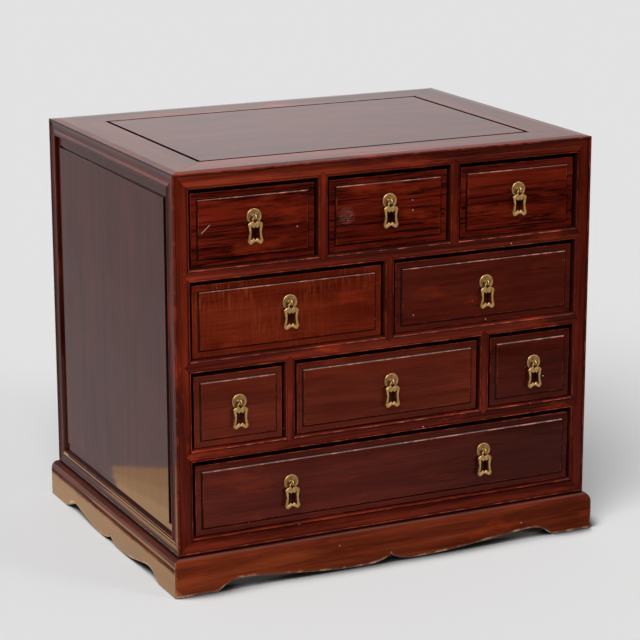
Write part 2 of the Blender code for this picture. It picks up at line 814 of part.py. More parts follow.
def arch_outline(half):
    """Lower edge of an apron, from its left foot to its middle: (along from the middle, height)."""
    points = []
    foot, peak = half - FOOT_LENGTH, half - ARCH_PEAK
    for step in range(ARCH_STEPS):
        s = 1 - step / ARCH_STEPS
        points.append((-peak - s * (foot - peak), ARCH_RISE * (1 - s * s)))
    for step in range(ARCH_STEPS):
        s = step / ARCH_STEPS
        share = (1 + math.cos(math.pi * s**ARCH_SKEW)) / 2
        height = LOBE_CLEARANCE + (ARCH_RISE - LOBE_CLEARANCE) * share
        points.append((-peak + s * (peak - LOBE_REACH), height))
    for step in range(ARCH_STEPS + 1):
        s = math.sin(math.pi / 2 * step / ARCH_STEPS)
        height = LOBE_CLEARANCE + (ARCH_RISE - LOBE_CLEARANCE) * (1 - math.sqrt(1 - s * s))
        points.append((LOBE_REACH * (s - 1), height))
    return points


def apron_section():
    """Section of an apron: (inset from its outer face, height), with a rounded upper edge."""
    section = [(APRON_THICKNESS, PLINTH_HEIGHT), (APRON_THICKNESS, 0), (0, 0)]
    for step in range(ROUND_STEPS + 1):
        angle = math.pi / 2 * step / ROUND_STEPS
        inset = APRON_ROUND_WIDTH * (1 - math.cos(angle))
        section.append((inset, PLINTH_HEIGHT - APRON_ROUND_HEIGHT * (1 - math.sin(angle))))
    return section


def add_stand():
    """Stand of four aprons with scalloped lower edges, mitred at the corners."""
    half_x = CASE_WIDTH / 2 + PLINTH_OVERHANG
    half_y = CASE_DEPTH / 2 + PLINTH_OVERHANG
    sides = (
        ("front", half_x, half_y),
        ("right", half_y, half_x),
        ("back", half_x, half_y),
        ("left", half_y, half_x),
    )
    for quarter, (name, half, reach) in enumerate(sides):
        bm = prism([(inset - reach, z) for inset, z in apron_section()], "X", -half, half)
        for end in (-1, 1):
            mitre(bm, (end * half, -reach, 0), (end, 1, 0))
        turn = quarter * math.pi / 2
        apron = add_object(f"apron_{name}", bm, STAND_WOOD, turn=turn)
        lower = arch_outline(half)
        outline = [
            (lower[0][0], -REACH),
            *lower,
            *((-along, height) for along, height in reversed(lower[:-1])),
            (-lower[0][0], -REACH),
        ]
        cutter = prism(outline, "Y", -reach - REACH, APRON_THICKNESS + REACH - reach)
        scallop = add_helper(f"scallop_{name}", cutter)
        scallop.rotation_euler = (0, 0, turn)
        combine(apron, scallop, "DIFFERENCE")


def pull_mount_mesh():
    """Rosette and split pin in one: dished plate, neck, eye, shank and two legs bent apart."""
    back = FRONT_FIELD_RISE + FRONT_BOARD + GAP
    profile = (
        (0, back + PIN_LEG_THICKNESS),
        (PIN_RADIUS, back + PIN_LEG_THICKNESS),
        (PIN_RADIUS, -GAP),
        (ROSETTE_RADIUS - ROSETTE_EDGE / 2, -GAP),
        (ROSETTE_RADIUS, -ROSETTE_EDGE),
        (ROSETTE_RADIUS - RIM_WIDTH / 2, -ROSETTE_RIM),
        (ROSETTE_RADIUS - 2 * RIM_WIDTH, -ROSETTE_DISH),
        (2 * PIN_RADIUS, -ROSETTE_DISH),
        (PIN_RADIUS, -PIN_NECK),
        (0, -PIN_NECK),
    )
    base = add_object("pull_mount_base", revolved(profile, ROSETTE_SIDES), BRASS)
    eye = ring_about_x(EYE_RADIUS, EYE_WIRE, EYE_SIDES, EYE_WIRE_SIDES, -PIN_NECK - EYE_RADIUS)
    legs = boxes(
        (
            (-PIN_RADIUS * 0.8, back, -PIN_LEG_LENGTH),
            (PIN_RADIUS * 0.8, back + PIN_LEG_THICKNESS * 0.9, PIN_LEG_LENGTH),
        )
    )
    helpers = (add_helper("pull_eye", eye), add_helper("pull_legs", legs))
    for helper in helpers:
        combine(base, helper, "UNION")
    return finished_mesh(base, helpers, "pull_mount")


def pendant_mesh():
    """Cast pendant hung on the eye: waisted plate with a cusped window, turned about its top bar."""
    half = PENDANT_WIDTH / 2
    outer = [(across * half, -down * PENDANT_DROP) for across, down in PENDANT_OUTLINE]
    outline = smooth_loop([(0, PENDANT_BAR), *outer])
    window = mirrored_loop([(across * half, -down * PENDANT_DROP) for across, down in WINDOW_OUTLINE])
    wide = EYE_WIRE + EYELET_PLAY
    deep = EYE_RADIUS + EYE_WIRE + EYELET_SLACK
    middle = (PENDANT_BAR + deep) / 2
    eyelet = mirrored_loop(
        (
            (0, -PENDANT_BAR),
            (wide * 0.75, (-PENDANT_BAR - middle) / 2),
            (wide, -middle),
            (wide * 0.75, (-deep - middle) / 2),
            (0, -deep),
        )
    )
    curve = bpy.data.curves.new("pendant", "CURVE")
    curve.dimensions = "2D"
    curve.fill_mode = "BOTH"
    curve.extrude = PENDANT_THICKNESS / 2 - PENDANT_EDGE
    curve.bevel_depth = PENDANT_EDGE
    curve.bevel_resolution = 0
    curve.offset = -PENDANT_EDGE
    for loop in (outline, window, eyelet):
        spline = curve.splines.new("POLY")
        spline.points.add(len(loop) - 1)
        for point, (x, z) in zip(spline.points, loop):
            point.co = (x, z, 0, 1)
        spline.use_cyclic_u = True
    drawing = bpy.data.objects.new("pendant_drawing", curve)
    bpy.context.scene.collection.objects.link(drawing)
    mesh = finished_mesh(drawing, (), "pendant")
    for vertex in mesh.vertices:
        x, z, out = vertex.co
        vertex.co = (x, -out, z)
    return mesh


def finished_mesh(item, helpers, name):
    """Welded mesh of an object with its modifiers, which then gives way to it."""
    seen = item.evaluated_get(bpy.context.evaluated_depsgraph_get())
    bm = bmesh.new()
    bm.from_mesh(seen.to_mesh())
    seen.to_mesh_clear()
    bmesh.ops.remove_doubles(bm, verts=bm.verts[:], dist=1e-6)
    bmesh.ops.recalc_face_normals(bm, faces=bm.faces[:])
    mesh = bpy.data.meshes.new(name)
    bm.to_mesh(mesh)
    bm.free()
    mesh.materials.clear()
    mesh.materials.append(BRASS)
    mesh.shade_smooth()
    mesh.set_sharp_from_angle(angle=math.radians(40))
    for used in (item, *helpers):
        bpy.data.objects.remove(used)
    return mesh


def add_drawers():
    """Nine drawers, each a front, a tray, its pull mounts and their pendants on one empty."""
    mount, pendant = pull_mount_mesh(), pendant_mesh()
    hang_y = -PIN_NECK - EYE_RADIUS
    hang_z = PENDANT_BAR + PENDANT_PLAY - EYE_INNER
    for index, (row, middle, bay) in enumerate(bays()):
        name = f"drawer_{index + 1}"
        width = bay - 2 * DRAWER_SIDE_GAP
        height = ROW_HEIGHT - DRAWER_TOP_GAP - DRAWER_BOTTOM_GAP
        slide = bpy.data.objects.new(name, None)
        face_y = FRONT_Y + ROW_SETBACKS[row]
        slide.location = (middle, face_y, row_floor(row) + DRAWER_BOTTOM_GAP + height / 2)
        bpy.context.scene.collection.objects.link(slide)
        board = raised_panel(
            width, height, FRONT_BOARD, FRONT_BORDER, FRONT_FIELD_RISE, FRONT_FIELD_BEVEL
        )
        front = add_object(f"{name}_front", board, FRONT_WOOD, slide)
        combine(front, pin_holes(name, PULL_PLACES[index], slide), "DIFFERENCE")
        add_tray(name, width, height, face_y, slide)
        hands = ("",) if len(PULL_PLACES[index]) == 1 else ("_left", "_right")
        for hand, (x, z) in zip(hands, PULL_PLACES[index]):
            add_mesh_object(f"{name}_pull_mount{hand}", mount, BRASS, slide, (x, 0, z))
            hang = (x, hang_y, z + hang_z)
            add_mesh_object(f"{name}_pendant{hand}", pendant, BRASS, slide, hang)


def pin_holes(name, places, slide):
    """Holes of the split pins through a drawer front."""
    bm = bmesh.new()
    radius = PIN_RADIUS + GAP
    for x, z in places:
        section = []
        for step in range(HOLE_SIDES):
            angle = 2 * math.pi * step / HOLE_SIDES
            section.append((x + radius * math.cos(angle), z + radius * math.sin(angle)))
        add_prism(bm, section, "Y", -REACH, FRONT_FIELD_RISE + FRONT_BOARD + REACH)
    return add_helper(f"{name}_pin_holes", bm, slide)


def add_tray(name, width, height, face_y, slide):
    """Tray behind a drawer front: two sides, a back and a bottom in one, open at the top."""
    half = width / 2 - TRAY_INSET
    near = FRONT_FIELD_RISE + FRONT_BOARD + GAP
    far = BACK_Y - BACK_GROOVE_INNER - TRAY_BACK_CLEARANCE - face_y
    low = GAP - DRAWER_BOTTOM_GAP - height / 2
    high = height / 2 - TRAY_DROP
    tray = add_object(f"{name}_tray", boxes(((-half, near, low), (half, far, high))), BARE_WOOD, slide)
    inside = half - TRAY_SIDE
    hollow = boxes(
        ((-inside, near - REACH, low + TRAY_BOTTOM), (inside, far - TRAY_SIDE, high + REACH))
    )
    combine(tray, add_helper(f"{name}_hollow", hollow, slide), "DIFFERENCE")


add_front_posts()
add_top()
add_side_panels()
add_back_frame()
add_bottom()
add_shelves()
add_dividers()
add_stand()
add_drawers()
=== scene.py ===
"""Looks of the apothecary chest: lacquered hardwood with worn edges, bare wood inside, aged brass pulls.

Every frame member, panel, board and pull is built here in finer form than its solid, in the same place.
Metres, +Z up, front towards -Y.
"""

import math

import bmesh
import bpy
from mathutils import Matrix, Vector


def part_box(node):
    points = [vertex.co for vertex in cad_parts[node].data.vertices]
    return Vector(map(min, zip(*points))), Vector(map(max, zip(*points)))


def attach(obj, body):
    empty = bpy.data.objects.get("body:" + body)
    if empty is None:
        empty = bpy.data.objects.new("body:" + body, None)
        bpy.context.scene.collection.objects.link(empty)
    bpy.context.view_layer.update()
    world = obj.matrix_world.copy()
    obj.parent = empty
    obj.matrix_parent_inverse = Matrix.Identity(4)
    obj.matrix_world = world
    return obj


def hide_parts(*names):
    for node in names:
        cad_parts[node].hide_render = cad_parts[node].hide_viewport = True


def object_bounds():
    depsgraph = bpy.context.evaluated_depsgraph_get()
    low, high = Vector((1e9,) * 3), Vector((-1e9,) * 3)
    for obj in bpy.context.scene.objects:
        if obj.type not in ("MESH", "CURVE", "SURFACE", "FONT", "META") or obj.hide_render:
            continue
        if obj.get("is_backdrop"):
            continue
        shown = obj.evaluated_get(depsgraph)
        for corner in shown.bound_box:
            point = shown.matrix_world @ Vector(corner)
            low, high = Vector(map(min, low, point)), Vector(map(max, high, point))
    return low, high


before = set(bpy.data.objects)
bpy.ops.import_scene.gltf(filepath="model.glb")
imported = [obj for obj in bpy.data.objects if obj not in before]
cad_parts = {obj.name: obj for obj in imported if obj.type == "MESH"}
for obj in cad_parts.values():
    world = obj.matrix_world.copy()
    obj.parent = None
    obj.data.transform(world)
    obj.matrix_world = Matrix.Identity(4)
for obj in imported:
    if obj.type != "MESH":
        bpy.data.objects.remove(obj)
CAD_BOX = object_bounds()

# Sizes of the chest
CASE_WIDTH = 0.600
CASE_DEPTH = 0.448
CASE_HEIGHT = 0.496
STAND_HEIGHT = 0.051
STAND_OVERHANG = 0.0086
GAP = 0.0003
FRAME_FACE = 0.0208
RAIL_FACE = 0.0137
DIVIDER_FACE = 0.0112
CORNER_RADIUS = 0.0015
CORNER_FILLET = 0.0030
ARRIS = 0.0010
QUIRK = 0.0004
COVE_DEPTH = 0.0022
NARROW_COVE_DEPTH = 0.0015
LIP_WIDTH = 0.0030
FRONT_LIP = 0.0055
SIDE_LIP = 0.0040
POST_DEPTH = 0.030
RAIL_DEPTH = 0.034
DIVIDER_DEPTH = 0.038
GROOVE_DEPTH = 0.006
GROOVE_LAND = 0.0005
SIDE_TONGUE = 0.006
SIDE_BORDER = 0.010
SIDE_FIELD_RISE = 0.0026
SIDE_FIELD_BEVEL = 0.0020
BACK_INSET = 0.004
BACK_BOARD = 0.006
BACK_BOARDS = 4
TOP_FRAME_WIDTH = 0.060
TOP_TONGUE = 0.006
TOP_TONGUE_COVER = 0.005
TOP_GROOVE_WIDTH = 0.0050
DUST_BOARD = 0.008
FLOOR_BOARD = 0.009
BOTTOM_FRAME_WIDTH = 0.045
PARTITION = 0.008
GUIDE_HEIGHT = 0.008
SMALL_BAY = 0.1256
ROWS = 4
FRONT_BORDER = 0.008
FRONT_FIELD_RISE = 0.0020
FRONT_FIELD_BEVEL = 0.0018
TRAY_SIDE = 0.008
TRAY_BOTTOM = 0.005
APRON_THICKNESS = 0.022
APRON_ROUND_WIDTH = 0.0088
APRON_ROUND_HEIGHT = 0.013
APRON_EDGE = 0.0012
FOOT_LENGTH = 0.060
ARCH_PEAK = 0.092
ARCH_RISE = 0.014
LOBE_REACH = 0.039
LOBE_CLEARANCE = 0.0015
ARCH_SKEW = 0.8
CORNER_BAND = 0.0030

# Pulls
ROSETTE_RADIUS = 0.0102
DISH_INNER = 0.003
DISH_OUTER = 0.008
PIN_RADIUS = 0.0013
PIN_NECK = 0.0025
PIN_LEG_LENGTH = 0.0118
PIN_LEG_THICKNESS = 0.0011
EYE_WIRE = 0.0010
EYE_INNER = 0.00179
PENDANT_WIDTH = 0.0208
PENDANT_DROP = 0.0342
PENDANT_BAR = 0.0010
PENDANT_PLAY = 0.0005
PENDANT_THICKNESS = 0.0022
PENDANT_EDGE = 0.0007
EYELET_PLAY = 0.0014
EYELET_SLACK = 0.0034

# Softened edges and fineness
EDGE = 0.0004
FINE_EDGE = 0.00015
BOARD_EDGE = 0.0006
GUARD = 0.0005
GUARD_ROOM = 2.2
EDGE_SHARE = 0.45
EDGE_STEPS = 4
COVE_STEPS = 14
ARCH_STEPS = 14
ROUND_STEPS = 10
ROSETTE_SIDES = 48
EYE_SIDES = 28
SMOOTH_ANGLE = math.radians(32)
REACH = 0.002
EASED_WIDTH = 0.012
EASED_DROP = 0.0009

# Wear of edges, from 0 to 1, grime and painted shade below 0, and the mark of a drawer front's painted bevel
RUBBED = 0.35
RAIL_WEAR = 0.75
BOARD_WEAR = 0.6
CORNER_WEAR = 0.6
PAINTED_BEVEL = 2.0

# Worked out from the sizes above
FRAME_BASE = FRAME_FACE + LIP_WIDTH
RAIL_BASE = RAIL_FACE + 2 * LIP_WIDTH
DIVIDER_BASE = DIVIDER_FACE + 2 * LIP_WIDTH
CASE_BOTTOM = STAND_HEIGHT + GAP
CASE_TOP = CASE_BOTTOM + CASE_HEIGHT
ROW_HEIGHT = (CASE_HEIGHT - 2 * FRAME_BASE - (ROWS - 1) * RAIL_BASE) / ROWS
BAY_WIDTH = CASE_WIDTH - 2 * FRAME_BASE
SIDE_GROOVE = SIDE_LIP + GROOVE_LAND
SIDE_GROOVE_INNER = SIDE_GROOVE + SIDE_TONGUE + 2 * GAP
BACK_GROOVE_INNER = BACK_INSET + BACK_BOARD + 2 * GAP
TONGUE_REACH = GROOVE_DEPTH - GAP
EYE_RADIUS = EYE_INNER + EYE_WIRE
FRONT_Y = -CASE_DEPTH / 2
BACK_Y = CASE_DEPTH / 2
HALF_W = CASE_WIDTH / 2
HALF_D = CASE_DEPTH / 2
SIDES = ((-1, "left"), (1, "right"))
ENDS = ((-1, "front"), (1, "back"))

# Colours, and tones in dark, middle and light
STREAK = (0.010, 0.0016, 0.0009)
WARM = (0.330, 0.034, 0.0090)
FLECK = (0.230, 0.036, 0.0110)
WORN = (0.42, 0.060, 0.021)
# Painted highlight on worn edges and bevels that face up
PAINTED_HIGHLIGHT = (0.56, 0.29, 0.23)
CHIPPED = (0.54, 0.35, 0.21)
NICK = (0.52, 0.40, 0.33)
# Grime and painted shade in creases, lips and gaps, and the painted shadow of pendants
SHADE_AND_GRIME = (0.005, 0.0016, 0.0012)
OLD_GRIME = (0.16, 0.085, 0.045)
BRIGHT_BRASS = (1.00, 0.58, 0.215)
# Brown of patina, also the painted shade on brass faces turned aside
DULL_BRASS = (0.092, 0.035, 0.003)
FRAME_TONES = ((0.046, 0.0043, 0.0021), (0.088, 0.0086, 0.0037), (0.130, 0.0150, 0.0062))
# Lit copy of the frame's tones: painted light on the top and bottom front rails
LIT_FRAME_TONES = ((0.080, 0.0076, 0.0032), (0.140, 0.0140, 0.0054), (0.200, 0.0240, 0.0090))
STAND_TONES = ((0.065, 0.0085, 0.0030), (0.120, 0.0175, 0.0055), (0.190, 0.0340, 0.0105))
PANEL_TONES = ((0.058, 0.0072, 0.0046), (0.077, 0.0098, 0.0062), (0.095, 0.0134, 0.0084))
RED = ((0.064, 0.0044, 0.0017), (0.108, 0.0080, 0.0031), (0.148, 0.0130, 0.0050))
ORANGE = ((0.086, 0.0070, 0.0024), (0.128, 0.0122, 0.0042), (0.162, 0.0185, 0.0062))
EVEN = ((0.058, 0.0066, 0.0034), (0.076, 0.0098, 0.0052), (0.092, 0.0128, 0.0068))
EVEN_WARM = ((0.074, 0.0090, 0.0042), (0.096, 0.0130, 0.0060), (0.116, 0.0165, 0.0076))
INNER_TONES = ((0.30, 0.165, 0.075), (0.42, 0.25, 0.12), (0.52, 0.33, 0.17))
BACK_TONES = ((0.055, 0.016, 0.008), (0.095, 0.030, 0.014), (0.14, 0.050, 0.024))

# Levels of the finishes and places of marks
BUMP_DEPTH = 0.0004
LACQUER_BUMP = 0.01
WAVE_HEIGHT = 50.0
WOOD_BUMP = 0.25
WOOD_GLOSS = 0.3
BRASS_BUMP = 0.12
BRASS_LEVELS = {"Metallic": 0.6, "Coat Weight": 0.5, "Coat Roughness": 0.18}
BRASS_RECESS = 0.006
RUBBED_SPOT = (-0.0605, -0.2205, 0.4725)
SCRATCH_SPOT = (-0.2550, -0.2205, 0.4737)
SCRATCH_TURN = math.radians(40)
# Size and depth of the painted shadow of a pendant on its drawer front
PULL_SHADOW_SCALE = (77.0, 0.0, 58.0)
PULL_SHADOW_DEPTH = 0.7


# Materials


def rgba(colour):
    """Colour for a socket, or the socket that it comes from."""
    return colour if isinstance(colour, bpy.types.NodeSocket) else (*colour, 1.0)


class Graph:
    """Node tree with short ways to add nodes. Their inputs are sockets to link or plain values."""

    def __init__(self, tree):
        self.tree = tree
        self.coords = self.add("TexCoord").outputs

    def fill(self, made, inputs):
        """Link or set inputs of a node."""
        for key, value in inputs.items():
            if isinstance(value, bpy.types.NodeSocket):
                self.tree.links.new(value, made.inputs[key])
            else:
                made.inputs[key].default_value = value

    def add(self, kind, inputs=None, **settings):
        """Shader node with its settings and inputs."""
        made = self.tree.nodes.new(f"ShaderNode{kind}")
        for key, value in settings.items():
            setattr(made, key, value)
        self.fill(made, inputs or {})
        return made

    def mix(self, factor, first, second, blend="MIX"):
        """Colour mix of two colours."""
        inputs = {0: factor, 6: rgba(first), 7: rgba(second)}
        return self.add("Mix", inputs, data_type="RGBA", blend_type=blend).outputs[2]

    def shade(self, colour, value):
        """Colour made darker or lighter by a value."""
        grey = self.add("CombineColor", {0: value, 1: value, 2: value}).outputs[0]
        return self.mix(1.0, colour, grey, "MULTIPLY")

    def span(self, value, low, high, to_low=0.0, to_high=1.0):
        """Value mapped from one range to another, held at both ends."""
        return self.add("MapRange", dict(enumerate((value, low, high, to_low, to_high)))).outputs[0]

    def math(self, operation, first, second):
        """Two values joined by one operation."""
        return self.add("Math", {0: first, 1: second}, operation=operation).outputs[0]

    def times(self, first, second):
        """Product of two values."""
        return self.math("MULTIPLY", first, second)

    def plus(self, first, second):
        """Sum of two values."""
        return self.math("ADD", first, second)

    def vector(self, operation, *vectors, output="Vector"):
        """Vectors joined or measured by one operation."""
        return self.add("VectorMath", dict(enumerate(vectors)), operation=operation).outputs[output]

    def split(self, vector):
        """X, Y and Z of a vector."""
        return self.add("SeparateXYZ", {0: vector}).outputs

    def wear_and_shade(self):
        """Wear, grime and painted shade kept on the points of the mesh."""
        return self.add("Attribute", attribute_name="wear_and_shade").outputs["Fac"]

    def noise(self, scale, seed, detail=4.0, roughness=0.55, distortion=0.0):
        """Noise in a space scaled evenly or along each axis, moved by a seed."""
        scale = scale if isinstance(scale, tuple) else (scale, scale, scale)
        shift = (seed * 1.37, seed * 2.11, seed * 0.73)
        place = self.add("Mapping", {"Vector": self.coords["Object"], "Location": shift, "Scale": scale})
        inputs = {"Vector": place.outputs[0], "Scale": 1.0, "Detail": detail, "Roughness": roughness}
        return self.add("TexNoise", {**inputs, "Distortion": distortion}).outputs["Fac"]

    def ramp(self, value, places, tones):
        """Ramp through a dark, a middle and a light tone."""
        made = self.add("ValToRGB", {"Fac": value})
        elements = made.color_ramp.elements
        elements.new(0.5)
        for element, place, tone in zip(elements, places, tones):
            element.position = place
            element.color = (*tone, 1.0)
        return made.outputs["Color"]


def grained(axis, along, across):
    """Noise scale stretched along the grain."""
    return tuple(along if axis == name else across for name in "XYZ")


def start_material(name):
    """Empty material, with its graph and its shader."""
    material = bpy.data.materials.new(name)
    material.use_nodes = True
    return material, Graph(material.node_tree), material.node_tree.nodes["Principled BSDF"]


def finish_surface(graph, shader, colour, roughness, height, bump, levels):
    """Colour, roughness and bump into the shader, with the plain levels of other inputs."""
    normal = graph.add("Bump", {"Height": height, "Strength": bump, "Distance": BUMP_DEPTH}).outputs[0]
    graph.fill(shader, {"Base Color": colour, "Roughness": roughness, "Normal": normal, **levels})


def lacquer(name, axis, tones, seed, streaks=0.3, flecks=0.0, patches=0.4, slope=None, mark=None, painted_top_light=1.75,
            rubbed=WORN, gloss=0.5, pull_shadow_places=()):
    """Lacquered hardwood: grain axis, tones and strengths of the dark streaks, cross flecks and warm thin
    patches. Slope is a painted light falloff, the tone at the left and right end of the chest, mark a
    function for the mask of a scuff or scratch, painted_top_light how much lighter the top is painted as if
    lit, rubbed the colour of worn edges, gloss the specular level and pull_shadow_places the places (x, z)
    with a painted shadow behind a pendant. Faces turned up are painted lighter and faces turned down darker."""
    material, graph, shader = start_material(name)
    noise, mix, shade, span, times = graph.noise, graph.mix, graph.shade, graph.span, graph.times
    broad = noise(grained(axis, 2.5, 38.0), seed, 4.0, 0.55, 0.8)
    lines = noise(grained(axis, 9.0, 260.0), seed + 2, 5.0, 0.62, 1.6)
    fibres = noise(grained(axis, 18.0, 640.0), seed + 3, 3.0)
    clouds = noise(7.0, seed + 7, 3.0)
    colour = graph.ramp(broad, (0.34, 0.5, 0.66), tones)
    streak = times(span(lines, 0.46, 0.60), span(broad, 0.80, 0.46))
    colour = mix(times(streak, streaks), colour, STREAK)
    colour = shade(colour, span(fibres, 0.25, 0.75, 0.78, 1.2))
    colour = shade(colour, span(clouds, 0.3, 0.7, 0.82, 1.15))
    thin = noise(grained(axis, 9.0, 32.0), seed + 9, 5.0, 0.65)
    colour = mix(span(thin, 0.56, 0.70, 0.0, patches), colour, WARM)
    if flecks:
        rays = noise(grained("Z" if axis == "X" else "X", 26.0, 330.0), seed + 11, 3.0, 0.6, 1.2)
        where = span(noise(16.0, seed + 13, 3.0), 0.40, 0.60, 0.15, 1.0)
        colour = mix(times(span(rays, 0.50, 0.68, 0.0, flecks), where), colour, FLECK)
    upward = graph.split(graph.add("NewGeometry").outputs["Normal"])["Z"]
    upright = span(upward, 0.5, 0.9, 1.0, 0.0)
    # Painted light falloff across the chest from left to right, on upright faces
    if slope:
        across = graph.split(graph.coords["Object"])["X"]
        colour = mix(upright, colour, shade(colour, span(across, -HALF_W, HALF_W, *slope)))
    edge = graph.wear_and_shade()
    rub = span(noise(60.0, seed + 17, 5.0, 0.65), 0.48, 0.66, 0.05, 1.0)
    worn = times(span(edge, 0.0, 1.0), rub)
    # Worn edges; where they face up, a painted highlight
    lit = span(upward, 0.25, 0.55)
    painted_glint = times(lit, span(edge, 0.4, 0.8, 0.0, 0.6))
    colour = mix(worn, colour, mix(painted_glint, rubbed, PAINTED_HIGHLIGHT))
    # Marks below 0: grime and painted shade in creases, lips, gaps and at the foot of a field's bevel
    colour = mix(span(edge, 0.0, -1.0, 0.0, 0.9), colour, SHADE_AND_GRIME)
    # A drawer front's bevel: painted highlight where it faces up, grime and painted shade elsewhere
    bevel = mix(times(lit, span(rub, 0.0, 0.6, 0.20, 0.52)), SHADE_AND_GRIME, PAINTED_HIGHLIGHT)
    colour = mix(span(edge, 1.2, 1.8, 0.0, 0.95), colour, bevel)
    # Painted shadow of each pendant on its drawer front
    if pull_shadow_places:
        colour = mix(painted_pull_shadow(graph, pull_shadow_places), colour, SHADE_AND_GRIME)
    colour = mix(times(nicks(graph, seed), upright), colour, NICK)
    if mark:
        colour = mix(mark(graph), colour, NICK)
    # Painted light: faces turned up lighter and faces turned down darker, then tops scaled by
    # painted_top_light
    colour = shade(colour, span(upward, -0.40, 0.40, 0.66, 1.36))
    colour = shade(colour, span(upward, 0.9, 0.99, 1.0, painted_top_light))
    rough = graph.plus(span(clouds, 0.3, 0.7, 0.06, 0.11), span(worn, 0.0, 1.0, 0.0, 0.15))
    waves = times(noise(22.0, seed + 19, 2.0), WAVE_HEIGHT)
    height = graph.plus(waves, graph.plus(fibres, lines))
    finish_surface(graph, shader, colour, rough, height, LACQUER_BUMP, {"Specular IOR Level": gloss})
    return material


def nicks(graph, seed):
    """Mask of a few small chips, through to the ground coat."""
    inputs = {"Vector": graph.coords["Object"], "Location": (seed, seed * 0.7, seed * 1.9)}
    place = graph.add("Mapping", inputs).outputs[0]
    cells = graph.add("TexVoronoi", {"Vector": place, "Scale": 55.0}).outputs
    chosen = graph.add("SeparateColor", {0: cells["Color"]}).outputs[0]
    chip = graph.span(cells["Distance"], 0.035, 0.055, 0.8, 0.0)
    return graph.times(chip, graph.math("GREATER_THAN", chosen, 0.75))


def pull_hands(drawer):
    """Endings of the names of a drawer's pulls."""
    return ("_left", "_right") if f"{drawer}_pendant_left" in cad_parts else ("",)


def pull_places(drawer):
    """Places (x, z) of the middles of a drawer's hanging pendants."""
    places = []
    for hand in pull_hands(drawer):
        low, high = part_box(f"{drawer}_pendant{hand}")
        places.append(((low.x + high.x) / 2, (low.z + high.z) / 2))
    return places


def painted_pull_shadow(graph, places):
    """Mask of the painted shadow behind and beside pendants."""
    mask = 0.0
    for x, z in places:
        moved = graph.vector("SUBTRACT", graph.coords["Object"], (x, 0.0, z))
        away = graph.vector("LENGTH", graph.vector("MULTIPLY", moved, PULL_SHADOW_SCALE), output="Value")
        mask = graph.math("MAXIMUM", mask, graph.span(away, 0.4, 1.0, PULL_SHADOW_DEPTH, 0.0))
    return mask


def scuffed(graph):
    """Mask of fine pale scratches about a rubbed spot."""
    away = graph.vector("DISTANCE", graph.coords["Object"], RUBBED_SPOT, output="Value")
    hairs = graph.span(graph.noise((330.0, 330.0, 900.0), 5, 2.0, 0.5, 2.5), 0.56, 0.64, 0.0, 0.35)
    return graph.times(hairs, graph.span(away, 0.013, 0.008))


def scratched(graph):
    """Mask of one long slanting scratch."""
    moved = graph.vector("SUBTRACT", graph.coords["Object"], SCRATCH_SPOT)
    turned = graph.add("Mapping", {"Vector": moved, "Rotation": (0.0, SCRATCH_TURN, 0.0)}).outputs[0]
    reach = graph.split(graph.vector("ABSOLUTE", turned))
    along = graph.span(reach["X"], 0.0085, 0.0070)
    return graph.times(along, graph.span(reach["Z"], 0.00050, 0.00025, 0.0, 0.75))


def bare_wood(name, axis, tones, seed):
    """Unfinished softwood: growth rings, fibres and old grime."""
    material, graph, shader = start_material(name)
    rings = graph.noise(grained(axis, 1.6, 62.0), seed, 4.0, 0.5, 0.6)
    fibres = graph.noise(grained(axis, 18.0, 700.0), seed + 3, 3.0)
    grime = graph.span(graph.noise(9.0, seed + 5), 0.45, 0.75, 0.0, 0.55)
    colour = graph.mix(grime, graph.ramp(rings, (0.36, 0.5, 0.66), tones), OLD_GRIME)
    rough = graph.span(fibres, 0.3, 0.7, 0.62, 0.82)
    finish_surface(graph, shader, colour, rough, fibres, WOOD_BUMP, {"Specular IOR Level": WOOD_GLOSS})
    return material


def brass(name, seed):
    """Aged cast brass: bright where it is rubbed, brown patina in the recesses, painted shade on faces
    turned aside.
    """
    material, graph, shader = start_material(name)
    span, times, plus = graph.span, graph.times, graph.plus
    stain = span(graph.noise(160.0, seed, 5.0, 0.6), 0.36, 0.66, 0.0, 0.6)
    pits = graph.noise(900.0, seed + 2, 3.0)
    open_sky = graph.add("AmbientOcclusion", {"Distance": BRASS_RECESS}, samples=8).outputs["AO"]
    patina = plus(stain, span(open_sky, 0.35, 0.9, 0.9, 0.0))
    # Painted shade on faces turned sideways or down; faces turned up keep a painted highlight
    facing = graph.split(graph.coords["Normal"])
    turned = times(span(facing["Y"], -0.90, -0.35, 0.0, 0.9), span(facing["Z"], -0.1, 0.4, 1.0, 0.0))
    # Marks on the mesh: patina and painted shade in a rosette's dish; the pin kept bright as a painted
    # highlight
    dish = graph.wear_and_shade()
    patina = plus(plus(patina, turned), span(dish, 0.0, -1.0, 0.0, 0.22))
    patina = times(patina, span(dish, 0.0, 1.0, 1.0, 0.3))
    colour = graph.mix(span(patina, 0.0, 1.0), BRIGHT_BRASS, DULL_BRASS)
    rough = span(patina, 0.0, 1.0, 0.18, 0.5)
    finish_surface(graph, shader, colour, rough, pits, BRASS_BUMP, BRASS_LEVELS)
    return material


# Frame members: grain axis, seed, patches, slope (a painted light falloff) and gloss
FRAME_FINISHES = (
    ("X", 0, 0.7, (1.22, 0.52), 0.5),
    ("Y", 1, 0.15, (1.15, 0.8), 0.5),
    ("Z", 2, 0.5, (1.08, 0.88), 0.35),
)
FRAME_MATERIALS = {
    axis: lacquer(f"frame_lacquer_{axis}", axis, FRAME_TONES, seed, 0.45, patches=thin, slope=slope,
                  painted_top_light=1.65, gloss=gloss)
    for axis, seed, thin, slope, gloss in FRAME_FINISHES
}
